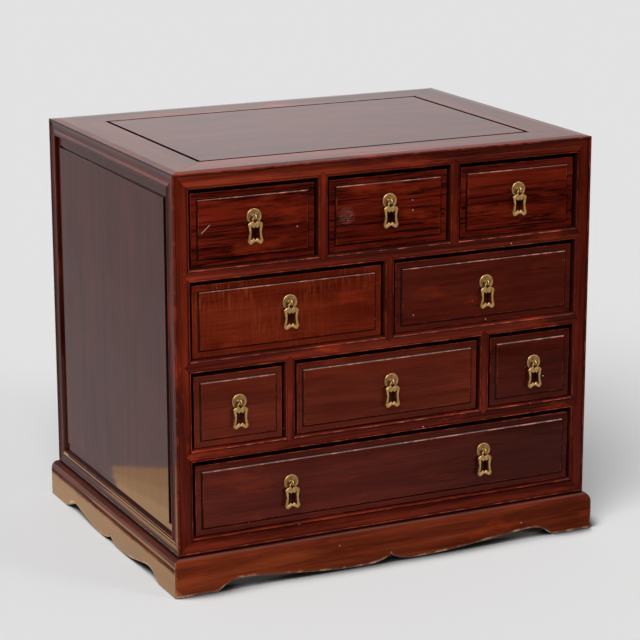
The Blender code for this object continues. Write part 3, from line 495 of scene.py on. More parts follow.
# Front rails: name, tones, seed, streaks, patches, slope (a painted light falloff) and painted top light
FRONT_FINISHES = (
    ("top", LIT_FRAME_TONES, 11, 0.5, 0.7, (0.88, 0.5), 1.45),
    ("bottom", LIT_FRAME_TONES, 13, 0.5, 0.5, (0.72, 0.50), 1.75),
    ("row_1", FRAME_TONES, 0, 0.45, 0.7, (1.30, 0.40), 1.65),
    ("row_2", FRAME_TONES, 0, 0.45, 1.0, (1.50, 0.48), 1.65),
    ("row_3", FRAME_TONES, 0, 0.45, 0.8, (0.98, 0.58), 1.65),
)
FRONT_MATERIALS = {
    name: lacquer(f"front_{name}_lacquer", "X", tones, seed, streaks, patches=thin, slope=slope, painted_top_light=painted_top_light)
    for name, tones, seed, streaks, thin, slope, painted_top_light in FRONT_FINISHES
}
# Stand: grain axis, seed and slope, a painted light falloff; its tops are painted darker
STAND_MATERIALS = {
    axis: lacquer(f"stand_lacquer_{axis}", axis, STAND_TONES, seed, 0.28, patches=0.4, slope=slope,
                  painted_top_light=0.75, rubbed=CHIPPED)
    for axis, seed, slope in (("X", 21, (0.98, 0.76)), ("Y", 23, (0.70, 0.76)))
}
# Panels, whose upward faces are painted lighter as if lit
SIDE_MATERIAL = lacquer("side_panel_lacquer", "Z", PANEL_TONES, 31, 0.2, patches=0.05)
TOP_MATERIAL = lacquer("top_panel_lacquer", "X", PANEL_TONES, 37, 0.35, patches=0.2)
# Drawer fronts: tones, seed, streaks, flecks, patches, slope (a painted light falloff) and mark
DRAWER_FINISHES = (
    (RED, 41, 1.0, 0.0, 0.4, (1.30, -0.60), scratched),
    (RED, 43, 1.0, 0.0, 0.4, (1.0, 0.9), scuffed),
    (RED, 47, 1.0, 0.0, 0.4, (0.94, 0.76), None),
    (ORANGE, 53, 0.25, 0.8, 0.4, (0.86, 0.66), None),
    (EVEN, 59, 0.3, 0.0, 0.2, (1.2, 0.68), None),
    (EVEN_WARM, 61, 0.2, 0.0, 0.2, (1.0, 1.0), None),
    (EVEN_WARM, 67, 0.25, 0.0, 0.2, (0.96, 0.82), None),
    (EVEN, 71, 0.2, 0.0, 0.1, (0.86, 0.58), None),
    (EVEN, 73, 0.25, 0.0, 0.2, (1.08, 0.44), None),
)
DRAWER_MATERIALS = [
    lacquer(f"drawer_lacquer_{number}", "X", *finish, pull_shadow_places=pull_places(f"drawer_{number}"))
    for number, finish in enumerate(DRAWER_FINISHES, 1)
]
INNER_MATERIALS = {axis: bare_wood(f"inner_wood_{axis}", axis, INNER_TONES, 81) for axis in "XYZ"}
BACK_MATERIAL = bare_wood("back_wash_wood", "Z", BACK_TONES, 91)
BRASS = brass("aged_brass", 95)


# Making pieces


def linked(name, data):
    """Object in the scene."""
    item = bpy.data.objects.new(name, data)
    bpy.context.scene.collection.objects.link(item)
    return item


def raw_mesh(name, bm):
    """Mesh from a shape, which is used up."""
    mesh = bpy.data.meshes.new(name)
    bm.to_mesh(mesh)
    bm.free()
    return mesh


def finished_mesh(name, bm, wear_and_shade_of=None):
    """Smooth-shaded mesh with its wear, grime and painted shade as an attribute."""
    bmesh.ops.recalc_face_normals(bm, faces=bm.faces[:])
    layer = bm.verts.layers.float.get("wear_and_shade")
    if layer is None:
        layer = bm.verts.layers.float.new("wear_and_shade")
    if wear_and_shade_of:
        for vert in bm.verts:
            vert[layer] = wear_and_shade_of(vert.co)
    mesh = raw_mesh(name, bm)
    mesh.shade_smooth()
    mesh.set_sharp_from_angle(angle=SMOOTH_ANGLE)
    return mesh


def add_piece(name, shape, material, body, solid, place=(0.0, 0.0, 0.0), flat=True):
    """Scene object from a shape or a finished mesh, which rides on a body and stands for a CAD node. Flat
    keeps its broad faces flat beside their softened edges."""
    mesh = finished_mesh(name, shape) if isinstance(shape, bmesh.types.BMesh) else shape
    if not mesh.materials:
        mesh.materials.append(material)
    item = linked(name, mesh)
    item.location = place
    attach(item, body)
    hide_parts(solid)
    if flat:
        item.modifiers.new("flat_faces", "WEIGHTED_NORMAL").keep_sharp = True


def evaluated(item):
    """Shape of an object with its modifiers or its curve worked out."""
    seen = item.evaluated_get(bpy.context.evaluated_depsgraph_get())
    bm = bmesh.new()
    bm.from_mesh(seen.to_mesh())
    seen.to_mesh_clear()
    return bm


def circle(steps):
    """Cosines and sines of even steps round a circle."""
    angles = [2 * math.pi * step / steps for step in range(steps)]
    return [(math.cos(angle), math.sin(angle)) for angle in angles]


def bridge(bm, rings, capped=True, closed=False):
    """Faces from each ring of points to the next. Both ends get caps, or the last goes on to the first."""
    faces = [bm.faces.new(rings[0]), bm.faces.new(rings[-1])] if capped else []
    for ring, beyond in zip(rings, rings[1:] + rings[:1] if closed else rings[1:]):
        for here in range(len(ring)):
            after = (here + 1) % len(ring)
            faces.append(bm.faces.new((ring[here], ring[after], beyond[after], beyond[here])))
    return faces


def rounded(corners):
    """Closed section (a, b, wear and shade) from corners (a, b), softened edges (a, b, radius, wear) and
    darkened corners (a, b, minus its grime and painted shade). An edge is fully worn unless its wear is
    given."""
    points = []
    for here, corner in enumerate(corners):
        spot = Vector(corner[:2])
        if len(corner) == 2 or corner[2] < 0:
            points.append((*spot, corner[2] if len(corner) > 2 else 0.0))
            continue
        before = Vector(corners[here - 1][:2]) - spot
        after = Vector(corners[(here + 1) % len(corners)][:2]) - spot
        worn = corner[3] if len(corner) > 3 else 1.0
        wanted = corner[2] / math.tan(before.angle(after) / 2)
        reach = min(wanted, EDGE_SHARE * before.length, EDGE_SHARE * after.length)
        first, last = (spot + way.normalized() * reach for way in (before, after))
        guards = []
        for way in (before, after):
            guard = (*(spot + way.normalized() * (reach + GUARD)), 0.0)
            guards.append([guard] if way.length > GUARD_ROOM * (reach + GUARD) else [])
        points += guards[0]
        for step in range(EDGE_STEPS + 1):
            t = step / EDGE_STEPS
            points.append((*(first * (1 - t) ** 2 + spot * 2 * t * (1 - t) + last * t * t), worn))
        points += guards[1]
    return points


def swept_point(axis, along, a, b):
    """World point of a section point, at a distance along an axis."""
    return {"X": (along, a, b), "Y": (a, along, b), "Z": (a, b, along)}[axis]


def add_prism(bm, section, axis, low, high):
    """Sweep a closed section straight along an axis."""
    ends = []
    for along in (low, high):
        ends.append([bm.verts.new(swept_point(axis, along, *point[:2])) for point in section])
    bmesh.ops.recalc_face_normals(bm, faces=bridge(bm, ends))


def wear_and_shade_along(section, axis):
    """Wear, grime and painted shade at a world point, read off the section's outline."""
    corners = [(Vector(point[:2]), point[2]) for point in section]

    def wear_and_shade_of(place):
        spot = {"X": place.yz, "Y": place.xz, "Z": place.xy}[axis]
        best, found = 1.0, 0.0
        for (start, start_wear), (end, end_wear) in zip(corners, corners[1:] + corners[:1]):
            run = end - start
            t = max(0.0, min(1.0, (spot - start).dot(run) / max(run.length_squared, 1e-14)))
            distance = (start + run * t - spot).length
            if distance < best:
                best, found = distance, start_wear + (end_wear - start_wear) * t
        return found if best < 1e-5 else 0.0

    return wear_and_shade_of


def mitre(bm, corner, normal):
    """Cut a member at a plane, half a gap short of its neighbour, and close the cut."""
    direction = Vector(normal).normalized()
    geometry = bm.verts[:] + bm.edges[:] + bm.faces[:]
    place = Vector(corner) - direction * GAP / 2
    cut = bmesh.ops.bisect_plane(
        bm, geom=geometry, dist=1e-7, plane_co=place, plane_no=direction, clear_outer=True
    )
    rim = [part for part in cut["geom_cut"] if isinstance(part, bmesh.types.BMEdge)]
    bmesh.ops.holes_fill(bm, edges=rim, sides=0)
    bmesh.ops.recalc_face_normals(bm, faces=bm.faces[:])


def carved(bm, cutter):
    """Shape with another one taken out of it."""
    target = linked("carved_target", raw_mesh("carved_target", bm))
    tool = linked("carved_cutter", raw_mesh("carved_cutter", cutter))
    modifier = target.modifiers.new("cut", "BOOLEAN")
    modifier.operation = "DIFFERENCE"
    modifier.object = tool
    modifier.solver = "EXACT"
    made = evaluated(target)
    for item in (target, tool):
        bpy.data.objects.remove(item)
    return made


def add_member(name, corners, axis, ends, solid, cuts=(), seats=None, material=None):
    """Frame member: swept section, mitre cuts (point, normal) and seats taken out of it."""
    section = rounded(corners)
    bm = bmesh.new()
    add_prism(bm, section, axis, *ends)
    for corner, normal in cuts:
        mitre(bm, corner, normal)
    if seats:
        bm = carved(bm, seats)
    mesh = finished_mesh(name, bm, wear_and_shade_along(section, axis))
    add_piece(name, mesh, material or FRAME_MATERIALS[axis], "case", solid)


def marked_solid(rings):
    """Solid through rings of points (x, y, z, wear, grime and painted shade), closed at both ends."""
    bm = bmesh.new()
    layer = bm.verts.layers.float.new("wear_and_shade")
    made = []
    for ring in rings:
        made.append([bm.verts.new(point[:3]) for point in ring])
        for vert, point in zip(made[-1], ring):
            vert[layer] = point[3]
    bridge(bm, made)
    return bm


def stepped_solid(low, high, steps):
    """Solid through rectangles between two corners (x, z), in steps (inset, y, wear, grime and painted
    shade).
    """
    rings = []
    for inset, y, wear_and_shade in steps:
        left, right = low[0] + inset, high[0] - inset
        under, over = low[1] + inset, high[1] - inset
        corners = ((left, under), (right, under), (right, over), (left, over))
        rings.append([(x, y, z, wear_and_shade) for x, z in corners])
    return marked_solid(rings)


def raised_panel(width, height, thickness, border, rise, bevel, rubbed):
    """Board with a raised field towards -Y and softened edges. Rubbed marks its bevel for a painted
    highlight where it faces up, with grime and painted shade elsewhere, and its sides for painted shade in
    the gaps; otherwise the bevel has grime and painted shade. The field's face is at Y = 0."""
    bevel_mark = PAINTED_BEVEL if rubbed else -1.0
    gap_shade = -1.0 if rubbed else 0.0
    field = border + bevel
    steps = (
        (EDGE, rise + thickness, 0.2),
        (0, rise + thickness - EDGE, gap_shade),
        (0, rise + EDGE + GUARD, gap_shade),
        (0, rise + EDGE, 0.5),
        (EDGE * 0.3, rise + EDGE * 0.3, 0.6),
        (EDGE, rise, 0.5),
        (EDGE + GUARD, rise, 0.0),
        (border - 3 * EDGE, rise, 0.0),
        (border - EDGE, rise, -0.8),
        (border + EDGE * 0.2, rise - EDGE * 0.3, -1.0),
        (border + bevel * 0.4, rise * 0.6, -1.0),
        (border + bevel * 0.5, rise * 0.5, bevel_mark),
        (field - EDGE * 0.5, EDGE * 0.5, bevel_mark),
        (field, EDGE * 0.15, 0.5),
        (field + EDGE * 0.7, 0, 0.3),
        (field + EDGE + GUARD, 0, 0.0),
    )
    return stepped_solid((-width / 2, -height / 2), (width / 2, height / 2), steps)


def add_board(name, low, high, material, body, solid):
    """Bare board with softened edges between two corners."""
    low, high = Vector(low), Vector(high)
    soft = min(BOARD_EDGE, 0.2 * min(high - low))
    steps = ((soft, low.y), (0, low.y + soft), (0, high.y - soft), (soft, high.y))
    bm = stepped_solid(low.xz, high.xz, [(*step, BOARD_WEAR) for step in steps])
    add_piece(name, bm, material, body, solid, flat=False)


def lathe(profile, sides):
    """Solid turned about the Y axis from points (radius, y); the first and last lie on the axis."""
    bm = bmesh.new()
    tips = [bm.verts.new((0, profile[end][1], 0)) for end in (0, -1)]
    rings = []
    for radius, y in profile[1:-1]:
        rings.append([bm.verts.new((radius * cos, y, radius * sin)) for cos, sin in circle(sides)])
    for tip, ring in zip(tips, (rings[0], rings[-1])):
        for here in range(sides):
            bm.faces.new((tip, ring[here - 1], ring[here]))
    bridge(bm, rings, capped=False)
    return bm


def add_tube(bm, path, radii, sides, closed=False):
    """Round or oval tube along a path: radii are (side, across) at each point."""
    rings = []
    points = [Vector(place) for place in path]
    last = len(points) - 1
    side = Vector((1, 0, 0))
    for here, (wide, thick) in enumerate(radii):
        behind = points[here - 1] if here or closed else points[here]
        ahead = points[(here + 1) % len(points)] if here < last or closed else points[here]
        across = (ahead - behind).normalized().cross(side).normalized()
        reaches = [side * wide * cos + across * thick * sin for cos, sin in circle(sides)]
        rings.append([bm.verts.new(points[here] + reach) for reach in reaches])
    bridge(bm, rings, capped=not closed, closed=closed)


# Profiles of the frame


def cove(start, end, depth):
    """Arc sunk between two fillets, as points (across, into), with grime and painted shade at its ends."""
    half = (end - start) / 2
    sag = depth - QUIRK
    radius = (half * half + sag * sag) / (2 * sag)
    points = []
    for step in range(COVE_STEPS + 1):
        across = half * (2 * step / COVE_STEPS - 1)
        into = QUIRK + math.sqrt(radius * radius - across * across) - (radius - sag)
        points.append((start + half + across, into))
    for inward, grime in enumerate((-0.9, -0.6)):
        for index in (inward, -1 - inward):
            points[index] = (*points[index], grime)
    return points


def lipped_arris(face, depth, worn):
    """Arris at the edge of a moulded face and the lip beyond it, with grime and painted shade: (across,
    into).
    """
    return [
        (face - ARRIS, 0, FINE_EDGE, worn),
        (face, 0, EDGE, worn),
        (face + 0.35 * LIP_WIDTH, 0.35 * depth, -0.7),
        (face + LIP_WIDTH, depth, -1.0),
    ]


def outer_face(lip_depth):
    """Moulded face of an outer member, from its rounded corner to its lip's foot: (across, into). The lip
    has grime and painted shade.
    """
    hollow = cove(CORNER_FILLET, FRAME_FACE - ARRIS, COVE_DEPTH)
    return [(CORNER_FILLET, 0, FINE_EDGE), *hollow, *lipped_arris(FRAME_FACE, lip_depth, RUBBED)]


def bar_section(face, depth, worn):
    """Section of a front rail or divider about its middle line: (across, into), lips with grime and painted
    shade on both sides and the wear of its arrises."""
    half = face / 2
    far = lipped_arris(half, FRONT_LIP, worn)
    near = [(-across, into, *rest) for across, into, *rest in reversed(far)]
    back = [(half + LIP_WIDTH, depth), (-half - LIP_WIDTH, depth)]
    return [*near, *cove(ARRIS - half, half - ARRIS, NARROW_COVE_DEPTH), *far, *back]


def swapped(points):
    """Section points with their two distances exchanged, in the opposite order."""
    return [(b, a, *rest) for a, b, *rest in reversed(points)]


def placed(points, a_from, a_sign, b_from, b_sign):
    """Section points laid out from two outer faces."""
    return [(a_from + a_sign * a, b_from + b_sign * b, *rest) for a, b, *rest in points]


def groove(inner, outer):
    """Groove of a panel between two depths: (from the outside, from the frame's edge)."""
    bottom = FRAME_BASE - GROOVE_DEPTH
    return [(inner, FRAME_BASE), (inner, bottom), (outer, bottom), (outer, FRAME_BASE)]


SIDE_SEAT = groove(SIDE_GROOVE_INNER, SIDE_GROOVE)
BACK_SEAT = groove(BACK_GROOVE_INNER, BACK_INSET)


def post_section(end):
    """Section of a corner post: (from the side, from the front or back)."""
    corner = (0, 0, CORNER_RADIUS, RUBBED)
    side = swapped(outer_face(SIDE_LIP))
    if end == "front":
        inside = [(FRAME_BASE, POST_DEPTH), (SIDE_GROOVE_INNER, POST_DEPTH), *SIDE_SEAT[1:]]
        return [corner, *outer_face(FRONT_LIP), *inside, *side]
    inside = [(FRAME_BASE, 0, EDGE), *swapped(BACK_SEAT), (FRAME_BASE, FRAME_BASE), *SIDE_SEAT]
    return [corner, *inside, *side]


def frame_rail_section(name, inner, eased):
    """Section of a top or bottom rail: (from the outside, from the top or bottom). The top is eased at its
    outer edge. The outer edges are darkened, but for the top's at the front and back."""
    at_side = name in ("left", "right")
    corner_wear = RUBBED if eased and not at_side else -0.9
    start = [(0, 0, CORNER_RADIUS, corner_wear), *inner]
    if eased:
        start[:1] = [(0, EASED_DROP, CORNER_RADIUS, corner_wear), (EASED_WIDTH, 0, EASED_WIDTH, 0.0)]
    if name == "front":
        return [*start, *swapped(outer_face(FRONT_LIP))]
    if at_side:
        return [*start, *SIDE_SEAT, *swapped(outer_face(SIDE_LIP))]
    return [*start, *BACK_SEAT, (0, FRAME_BASE, EDGE)]


# Frame of the case


def row_floor(row):
    """Height that the drawers of a row run on, row 0 at the top."""
    return CASE_TOP - FRAME_BASE - ROW_HEIGHT - row * (ROW_HEIGHT + RAIL_BASE)


def rail_middle(row):
    """Middle height of the front rail under a row."""
    return row_floor(row) - RAIL_BASE / 2


def divider_middles():
    """For each row, the dividers' middle lines, from left to right."""
    third = (BAY_WIDTH - 2 * DIVIDER_BASE) / 3
    row_1 = (third + DIVIDER_BASE) / 2
    row_3 = BAY_WIDTH / 2 - SMALL_BAY - DIVIDER_BASE / 2
    return ((-row_1, row_1), (0.0,), (-row_3, row_3), ())


def seat_prism(bm, tip, across, opening, half):
    """Triangular seat of a pointed end, through the front: its tip, way across, opening and half width."""
    corners = [tip]
    for side in (-1, 1):
        corners.append((opening[0] + side * half * across[0], opening[1] + side * half * across[1]))
    add_prism(bm, corners, "Y", FRONT_Y - REACH, FRONT_Y + DIVIDER_DEPTH + GAP)


def post_seats(side):
    """Seats of the three front rails in a front post."""
    bm = bmesh.new()
    tip = HALF_W - FRAME_FACE + RAIL_FACE / 2 + GAP * math.sqrt(2)
    opening = HALF_W - FRAME_BASE - REACH
    for row in range(ROWS - 1):
        z = rail_middle(row)
        seat_prism(bm, (side * tip, z), (0, 1), (side * opening, z), tip - opening)
    return bm


def divider_seats(bm, middles, arris, up):
    """Seats of dividers' pointed ends past an arris, upwards or downwards."""
    tip = arris + up * (DIVIDER_FACE / 2 + GAP * math.sqrt(2))
    opening = arris - up * (LIP_WIDTH + REACH)
    for middle in middles:
        seat_prism(bm, (middle, tip), (1, 0), (middle, opening), abs(tip - opening))
    return bm


def add_posts():
    """Four corner posts."""
    for depth, end in ENDS:
        for side, hand in SIDES:
            corners = placed(post_section(end), side * HALF_W, -side, depth * HALF_D, -depth)
            cuts = []
            for z, up in ((CASE_TOP, 1), (CASE_BOTTOM, -1)):
                corner = (side * HALF_W, depth * HALF_D, z)
                cuts += [(corner, (-side, 0, up)), (corner, (0, -depth, up))]
            seats = post_seats(side) if end == "front" else None
            solid = f"post_front_{hand}" if end == "front" else "back_frame"
            name = f"post_{end}_{hand}_wood"
            add_member(name, corners, "Z", (CASE_BOTTOM, CASE_TOP), solid, cuts, seats)


def add_frame_rails(level, z, up, inner, solids):
    """Four mitred rails of the top or bottom frame, with their solids' names. Up points out of the case."""
    eased = level == "top"
    for axis, sides, out, along in (("X", ENDS, HALF_D, HALF_W), ("Y", SIDES, HALF_W, HALF_D)):
        for way, name in sides:
            corners = placed(frame_rail_section(name, inner, eased), way * out, -way, z, -up)
            cuts = []
            for end in (-1, 1):
                corner = swept_point(axis, end * along, way * out, z)
                cuts += [(corner, swept_point(axis, end, *out_up)) for out_up in ((-way, 0), (0, -up))]
            seats = material = None
            if name == "front":
                material = FRONT_MATERIALS[level]
            if eased and name == "front":
                seats = divider_seats(bmesh.new(), divider_middles()[0], CASE_TOP - FRAME_FACE, 1)
            piece = f"{level}_rail_{name}_wood"
            add_member(piece, corners, axis, (-along, along), solids[name], cuts, seats, material)


def add_case_frame():
    """Top and bottom frames with the floor board."""
    under = TOP_TONGUE_COVER + TOP_TONGUE + 2 * GAP
    top_inner = [
        (TOP_FRAME_WIDTH, 0, FINE_EDGE),
        (TOP_FRAME_WIDTH, 2 * EDGE, -1.0),
        (TOP_FRAME_WIDTH, TOP_TONGUE_COVER, -1.0),
        (TOP_FRAME_WIDTH - GROOVE_DEPTH, TOP_TONGUE_COVER),
        (TOP_FRAME_WIDTH - GROOVE_DEPTH, under),
        (TOP_FRAME_WIDTH, under),
        (TOP_FRAME_WIDTH, FRAME_BASE),
    ]
    solids = {name: f"top_rail_{name}" for name in ("front", "left", "right")}
    add_frame_rails("top", CASE_TOP, 1, top_inner, {**solids, "back": "back_frame"})
    bottom_inner = [(BOTTOM_FRAME_WIDTH, 0, EDGE), (BOTTOM_FRAME_WIDTH, FRAME_BASE)]
    solids = dict.fromkeys(("front", "back", "left", "right"), "case_bottom")
    add_frame_rails("bottom", CASE_BOTTOM, -1, bottom_inner, solids)
    half_x, half_y = HALF_W - BOTTOM_FRAME_WIDTH - GAP, HALF_D - BOTTOM_FRAME_WIDTH - GAP
    top = CASE_BOTTOM + FRAME_BASE
    low, high = (-half_x, -half_y, top - FLOOR_BOARD), (half_x, half_y, top)
    add_board("floor_board", low, high, INNER_MATERIALS["X"], "case", "case_bottom")


def add_shelves():
    """Front rails with pointed ends, and the dust boards with drawer guides behind them."""
    board_x = HALF_W - SIDE_GROOVE_INNER
    guide_x = HALF_W - FRAME_BASE
    tip_x = HALF_W - FRAME_FACE + RAIL_FACE / 2
    stretch = (FRONT_Y + RAIL_DEPTH + GAP, BACK_Y - FRAME_BASE - GAP)
    section = bar_section(RAIL_FACE, RAIL_DEPTH, RAIL_WEAR)
    middles = divider_middles()
    for row in range(ROWS - 1):
        z = rail_middle(row)
        top = row_floor(row)
        corners = [(FRONT_Y + into, z + across, *rest) for across, into, *rest in section]
        cuts = [((side * tip_x, FRONT_Y, z), (side, 0, slope)) for side in (-1, 1) for slope in (-1, 1)]
        seats = divider_seats(bmesh.new(), middles[row], z + RAIL_FACE / 2, -1)
        seats = divider_seats(seats, middles[row + 1], z - RAIL_FACE / 2, 1)
        shelf = f"shelf_{row + 1}"
        material = FRONT_MATERIALS[f"row_{row + 1}"]
        add_member(f"front_rail_{row + 1}", corners, "X", (-tip_x, tip_x), shelf, cuts, seats, material)
        guide = top + GUIDE_HEIGHT
        trough = [
            (-board_x, top - DUST_BOARD, BOARD_EDGE),
            (board_x, top - DUST_BOARD, BOARD_EDGE),
            (board_x, guide, BOARD_EDGE),
            (guide_x, guide, BOARD_EDGE),
            (guide_x, top),
            (-guide_x, top),
            (-guide_x, guide, BOARD_EDGE),
            (-board_x, guide, BOARD_EDGE),
        ]
        wood = INNER_MATERIALS["X"]
        add_member(f"dust_board_{row + 1}", trough, "Y", stretch, shelf, material=wood)


def add_dividers():
    """Dividers with pointed ends, and the partitions with drawer guides behind them."""
    number = 0
    stretch = (FRONT_Y + RAIL_DEPTH + GAP, BACK_Y - BACK_GROOVE_INNER)
    web, foot = PARTITION / 2, DIVIDER_BASE / 2 - GAP
    for row, middles in enumerate(divider_middles()):
        floor = row_floor(row)
        ceiling = floor + ROW_HEIGHT
        low_tip = floor - LIP_WIDTH - DIVIDER_FACE / 2
        high_tip = ceiling + LIP_WIDTH + DIVIDER_FACE / 2
        under = ceiling + (RAIL_BASE - DUST_BOARD if row else 0) - GAP
        guide = floor + GUIDE_HEIGHT
        for middle in middles:
            number += 1
            divider = f"divider_{number}"
            corners = placed(bar_section(DIVIDER_FACE, RAIL_DEPTH, RUBBED), middle, 1, FRONT_Y, 1)
            cuts = []
            for z, up in ((low_tip, -1), (high_tip, 1)):
                cuts += [((middle, FRONT_Y, z), (slope, 0, up)) for slope in (-1, 1)]
            add_member(f"{divider}_wood", corners, "Z", (low_tip, high_tip), divider, cuts)
            tee = [
                (middle - foot, floor + GAP),
                (middle + foot, floor + GAP),
                (middle + foot, guide, BOARD_EDGE),
                (middle + web, guide),
                (middle + web, under, BOARD_EDGE),
                (middle - web, under, BOARD_EDGE),
                (middle - web, guide),
                (middle - foot, guide, BOARD_EDGE),
            ]
            wood = INNER_MATERIALS["Y"]
            add_member(f"partition_{number}", tee, "Y", stretch, divider, material=wood)


# Panels


def add_panels():
    """Side panels with a raised field, flush top panel, back boards."""
    width = CASE_DEPTH - 2 * FRAME_BASE + 2 * TONGUE_REACH
    height = CASE_HEIGHT - 2 * FRAME_BASE + 2 * TONGUE_REACH
    border = SIDE_BORDER + TONGUE_REACH
    face = HALF_W - SIDE_GROOVE - GAP + SIDE_FIELD_RISE
    middle = (CASE_BOTTOM + CASE_TOP) / 2
    for side, hand in SIDES:
        bm = raised_panel(width, height, SIDE_TONGUE, border, SIDE_FIELD_RISE, SIDE_FIELD_BEVEL, False)
        turn = Matrix.Rotation(side * math.pi / 2, 4, "Z")
        bm.transform(Matrix.Translation((side * face, 0, middle)) @ turn)
        solid = f"side_panel_{hand}"
        add_piece(f"{solid}_wood", bm, SIDE_MATERIAL, "case", solid)
    tongue = TOP_FRAME_WIDTH - TONGUE_REACH
    field = TOP_FRAME_WIDTH + TOP_GROOVE_WIDTH
    down = TOP_TONGUE_COVER + GAP
    steps = (
        (tongue, down + TOP_TONGUE, 0.0),
        (tongue, down, 0.0),
        (field, down, -1.0),
        (field, EDGE + GUARD, -1.0),
        (field, EDGE, -1.0),
        (field + EDGE * 0.3, EDGE * 0.3, -0.6),
        (field + EDGE, 0, 0.0),
        (field + EDGE + GUARD, 0, 0.0),
    )
    bm = stepped_solid((-HALF_W, -HALF_D), (HALF_W, HALF_D), steps)
    bm.transform(Matrix.Translation((0, 0, CASE_TOP)) @ Matrix.Rotation(-math.pi / 2, 4, "X"))
    add_piece("top_panel_wood", bm, TOP_MATERIAL, "case", "top_panel")
    half = HALF_W - FRAME_BASE + TONGUE_REACH
    low = CASE_BOTTOM + FRAME_BASE - TONGUE_REACH
    high = CASE_TOP - FRAME_BASE + TONGUE_REACH
    near = BACK_Y - BACK_INSET - GAP - BACK_BOARD
    wide = 2 * half / BACK_BOARDS
    for index in range(BACK_BOARDS):
        start = -half + index * wide
        ends = (start, near, low), (start + wide - GAP, near + BACK_BOARD, high)
        add_board(f"back_board_{index + 1}", *ends, BACK_MATERIAL, "case", "back_frame")


# Stand


def arch_outline(half):
    """Lower edge of an apron, from its left foot to its middle: (along from the middle, height)."""
    points = []
    foot, peak = half - FOOT_LENGTH, half - ARCH_PEAK
    drop = ARCH_RISE - LOBE_CLEARANCE
    for step in range(ARCH_STEPS):
        s = 1 - step / ARCH_STEPS
        points.append((-peak - s * (foot - peak), ARCH_RISE * (1 - s * s)))
    for step in range(ARCH_STEPS):
        s = step / ARCH_STEPS
        share = (1 + math.cos(math.pi * s**ARCH_SKEW)) / 2
        points.append((-peak + s * (peak - LOBE_REACH), LOBE_CLEARANCE + drop * share))
    for step in range(ARCH_STEPS + 1):
        s = math.sin(math.pi / 2 * step / ARCH_STEPS)
        points.append((LOBE_REACH * (s - 1), LOBE_CLEARANCE + drop * (1 - math.sqrt(1 - s * s))))
    return points


def apron_profile():
    """Apron section: (inset from the outside, height, share of the lower edge's rise, wear). The upper half
    of the round, towards the case, has grime and painted shade.
    """
    points = [
        (APRON_THICKNESS, STAND_HEIGHT, 0.0, 0.0),
        (APRON_THICKNESS, 0.0, 1.0, 0.0),
        (APRON_EDGE + GUARD, 0.0, 1.0, 0.5),
    ]
    for step in range(EDGE_STEPS + 1):
        angle = math.pi / 2 * step / EDGE_STEPS
        points.append((APRON_EDGE * (1 - math.sin(angle)), APRON_EDGE * (1 - math.cos(angle)), 1.0, 1.0))
    points.append((0.0, APRON_EDGE + 2 * GUARD, 1.0, 0.35))
    points.append((0.0, APRON_EDGE + 6 * GUARD, 1.0, 0.0))
    for step in range(ROUND_STEPS + 1):
        share = step / ROUND_STEPS
        inset = APRON_ROUND_WIDTH * (1 - math.cos(math.pi / 2 * share))
        height = STAND_HEIGHT - APRON_ROUND_HEIGHT * (1 - math.sin(math.pi / 2 * share))
        points.append((inset, height, 0.0, -max(0.0, share - 0.5) * 2))
    return points


def add_stand():
    """Four aprons with scalloped, worn lower edges, mitred at the corners."""
    half_x, half_y = HALF_W + STAND_OVERHANG, HALF_D + STAND_OVERHANG
    profile = apron_profile()
    for quarter, name in enumerate(("front", "right", "back", "left")):
        axis = "XY"[quarter % 2]
        half, reach = (half_x, half_y) if axis == "X" else (half_y, half_x)
        left = arch_outline(half)
        stations = [*left, *((-along, height) for along, height in reversed(left[:-1]))]
        stations = [(None, 0.0), (None, 0.0), *stations, (None, 0.0), (None, 0.0)]
        rings = []
        for index, (along, rise) in enumerate(stations):
            ring = []
            at_corner = index in (0, len(stations) - 1)
            for inset, height, share, wear_and_shade in profile:
                end = half - inset - GAP / 2 - (0.0 if at_corner else CORNER_BAND)
                x = along if along is not None else math.copysign(end, index - 2)
                worn = CORNER_WEAR if at_corner and wear_and_shade >= 0 else wear_and_shade
                ring.append((x, inset - reach, height + share * rise, worn))
            rings.append(ring)
        bm = marked_solid(rings)
        bm.transform(Matrix.Rotation(quarter * math.pi / 2, 4, "Z"))
        solid = f"apron_{name}"
        add_piece(f"{solid}_wood", bm, STAND_MATERIALS[axis], "case", solid)


# Drawers and pulls


def dish_patina_and_shade(place):
    """Darkening in the dish of a rosette, patina and painted shade, none on its rim and boss."""
    return -1.0 if DISH_INNER < math.hypot(place.x, place.z) < DISH_OUTER else 0.0


def rosette_mesh():
    """Dished plate with a beaded rim and a small boss round the pin."""
    r = ROSETTE_RADIUS
    profile = [
        (0, -GAP),
        (r - 0.0006, -GAP),
        (r - 0.00015, -0.0006),
        (r, -0.0011),
        (r - 0.0001, -0.0017),
        (r - 0.0005, -0.0021),
        (r - 0.0010, -0.0022),
        (r - 0.0015, -0.0020),
        (r - 0.0019, -0.0015),
        (r - 0.0028, -0.0010),
        (0.0058, -0.0007),
        (0.0042, -0.0008),
        (0.0033, -0.0014),
        (0.0025, -0.0021),
        (0.0016, -0.0024),
        (0, -0.0024),
    ]
    return finished_mesh("rosette", lathe(profile, ROSETTE_SIDES), dish_patina_and_shade)


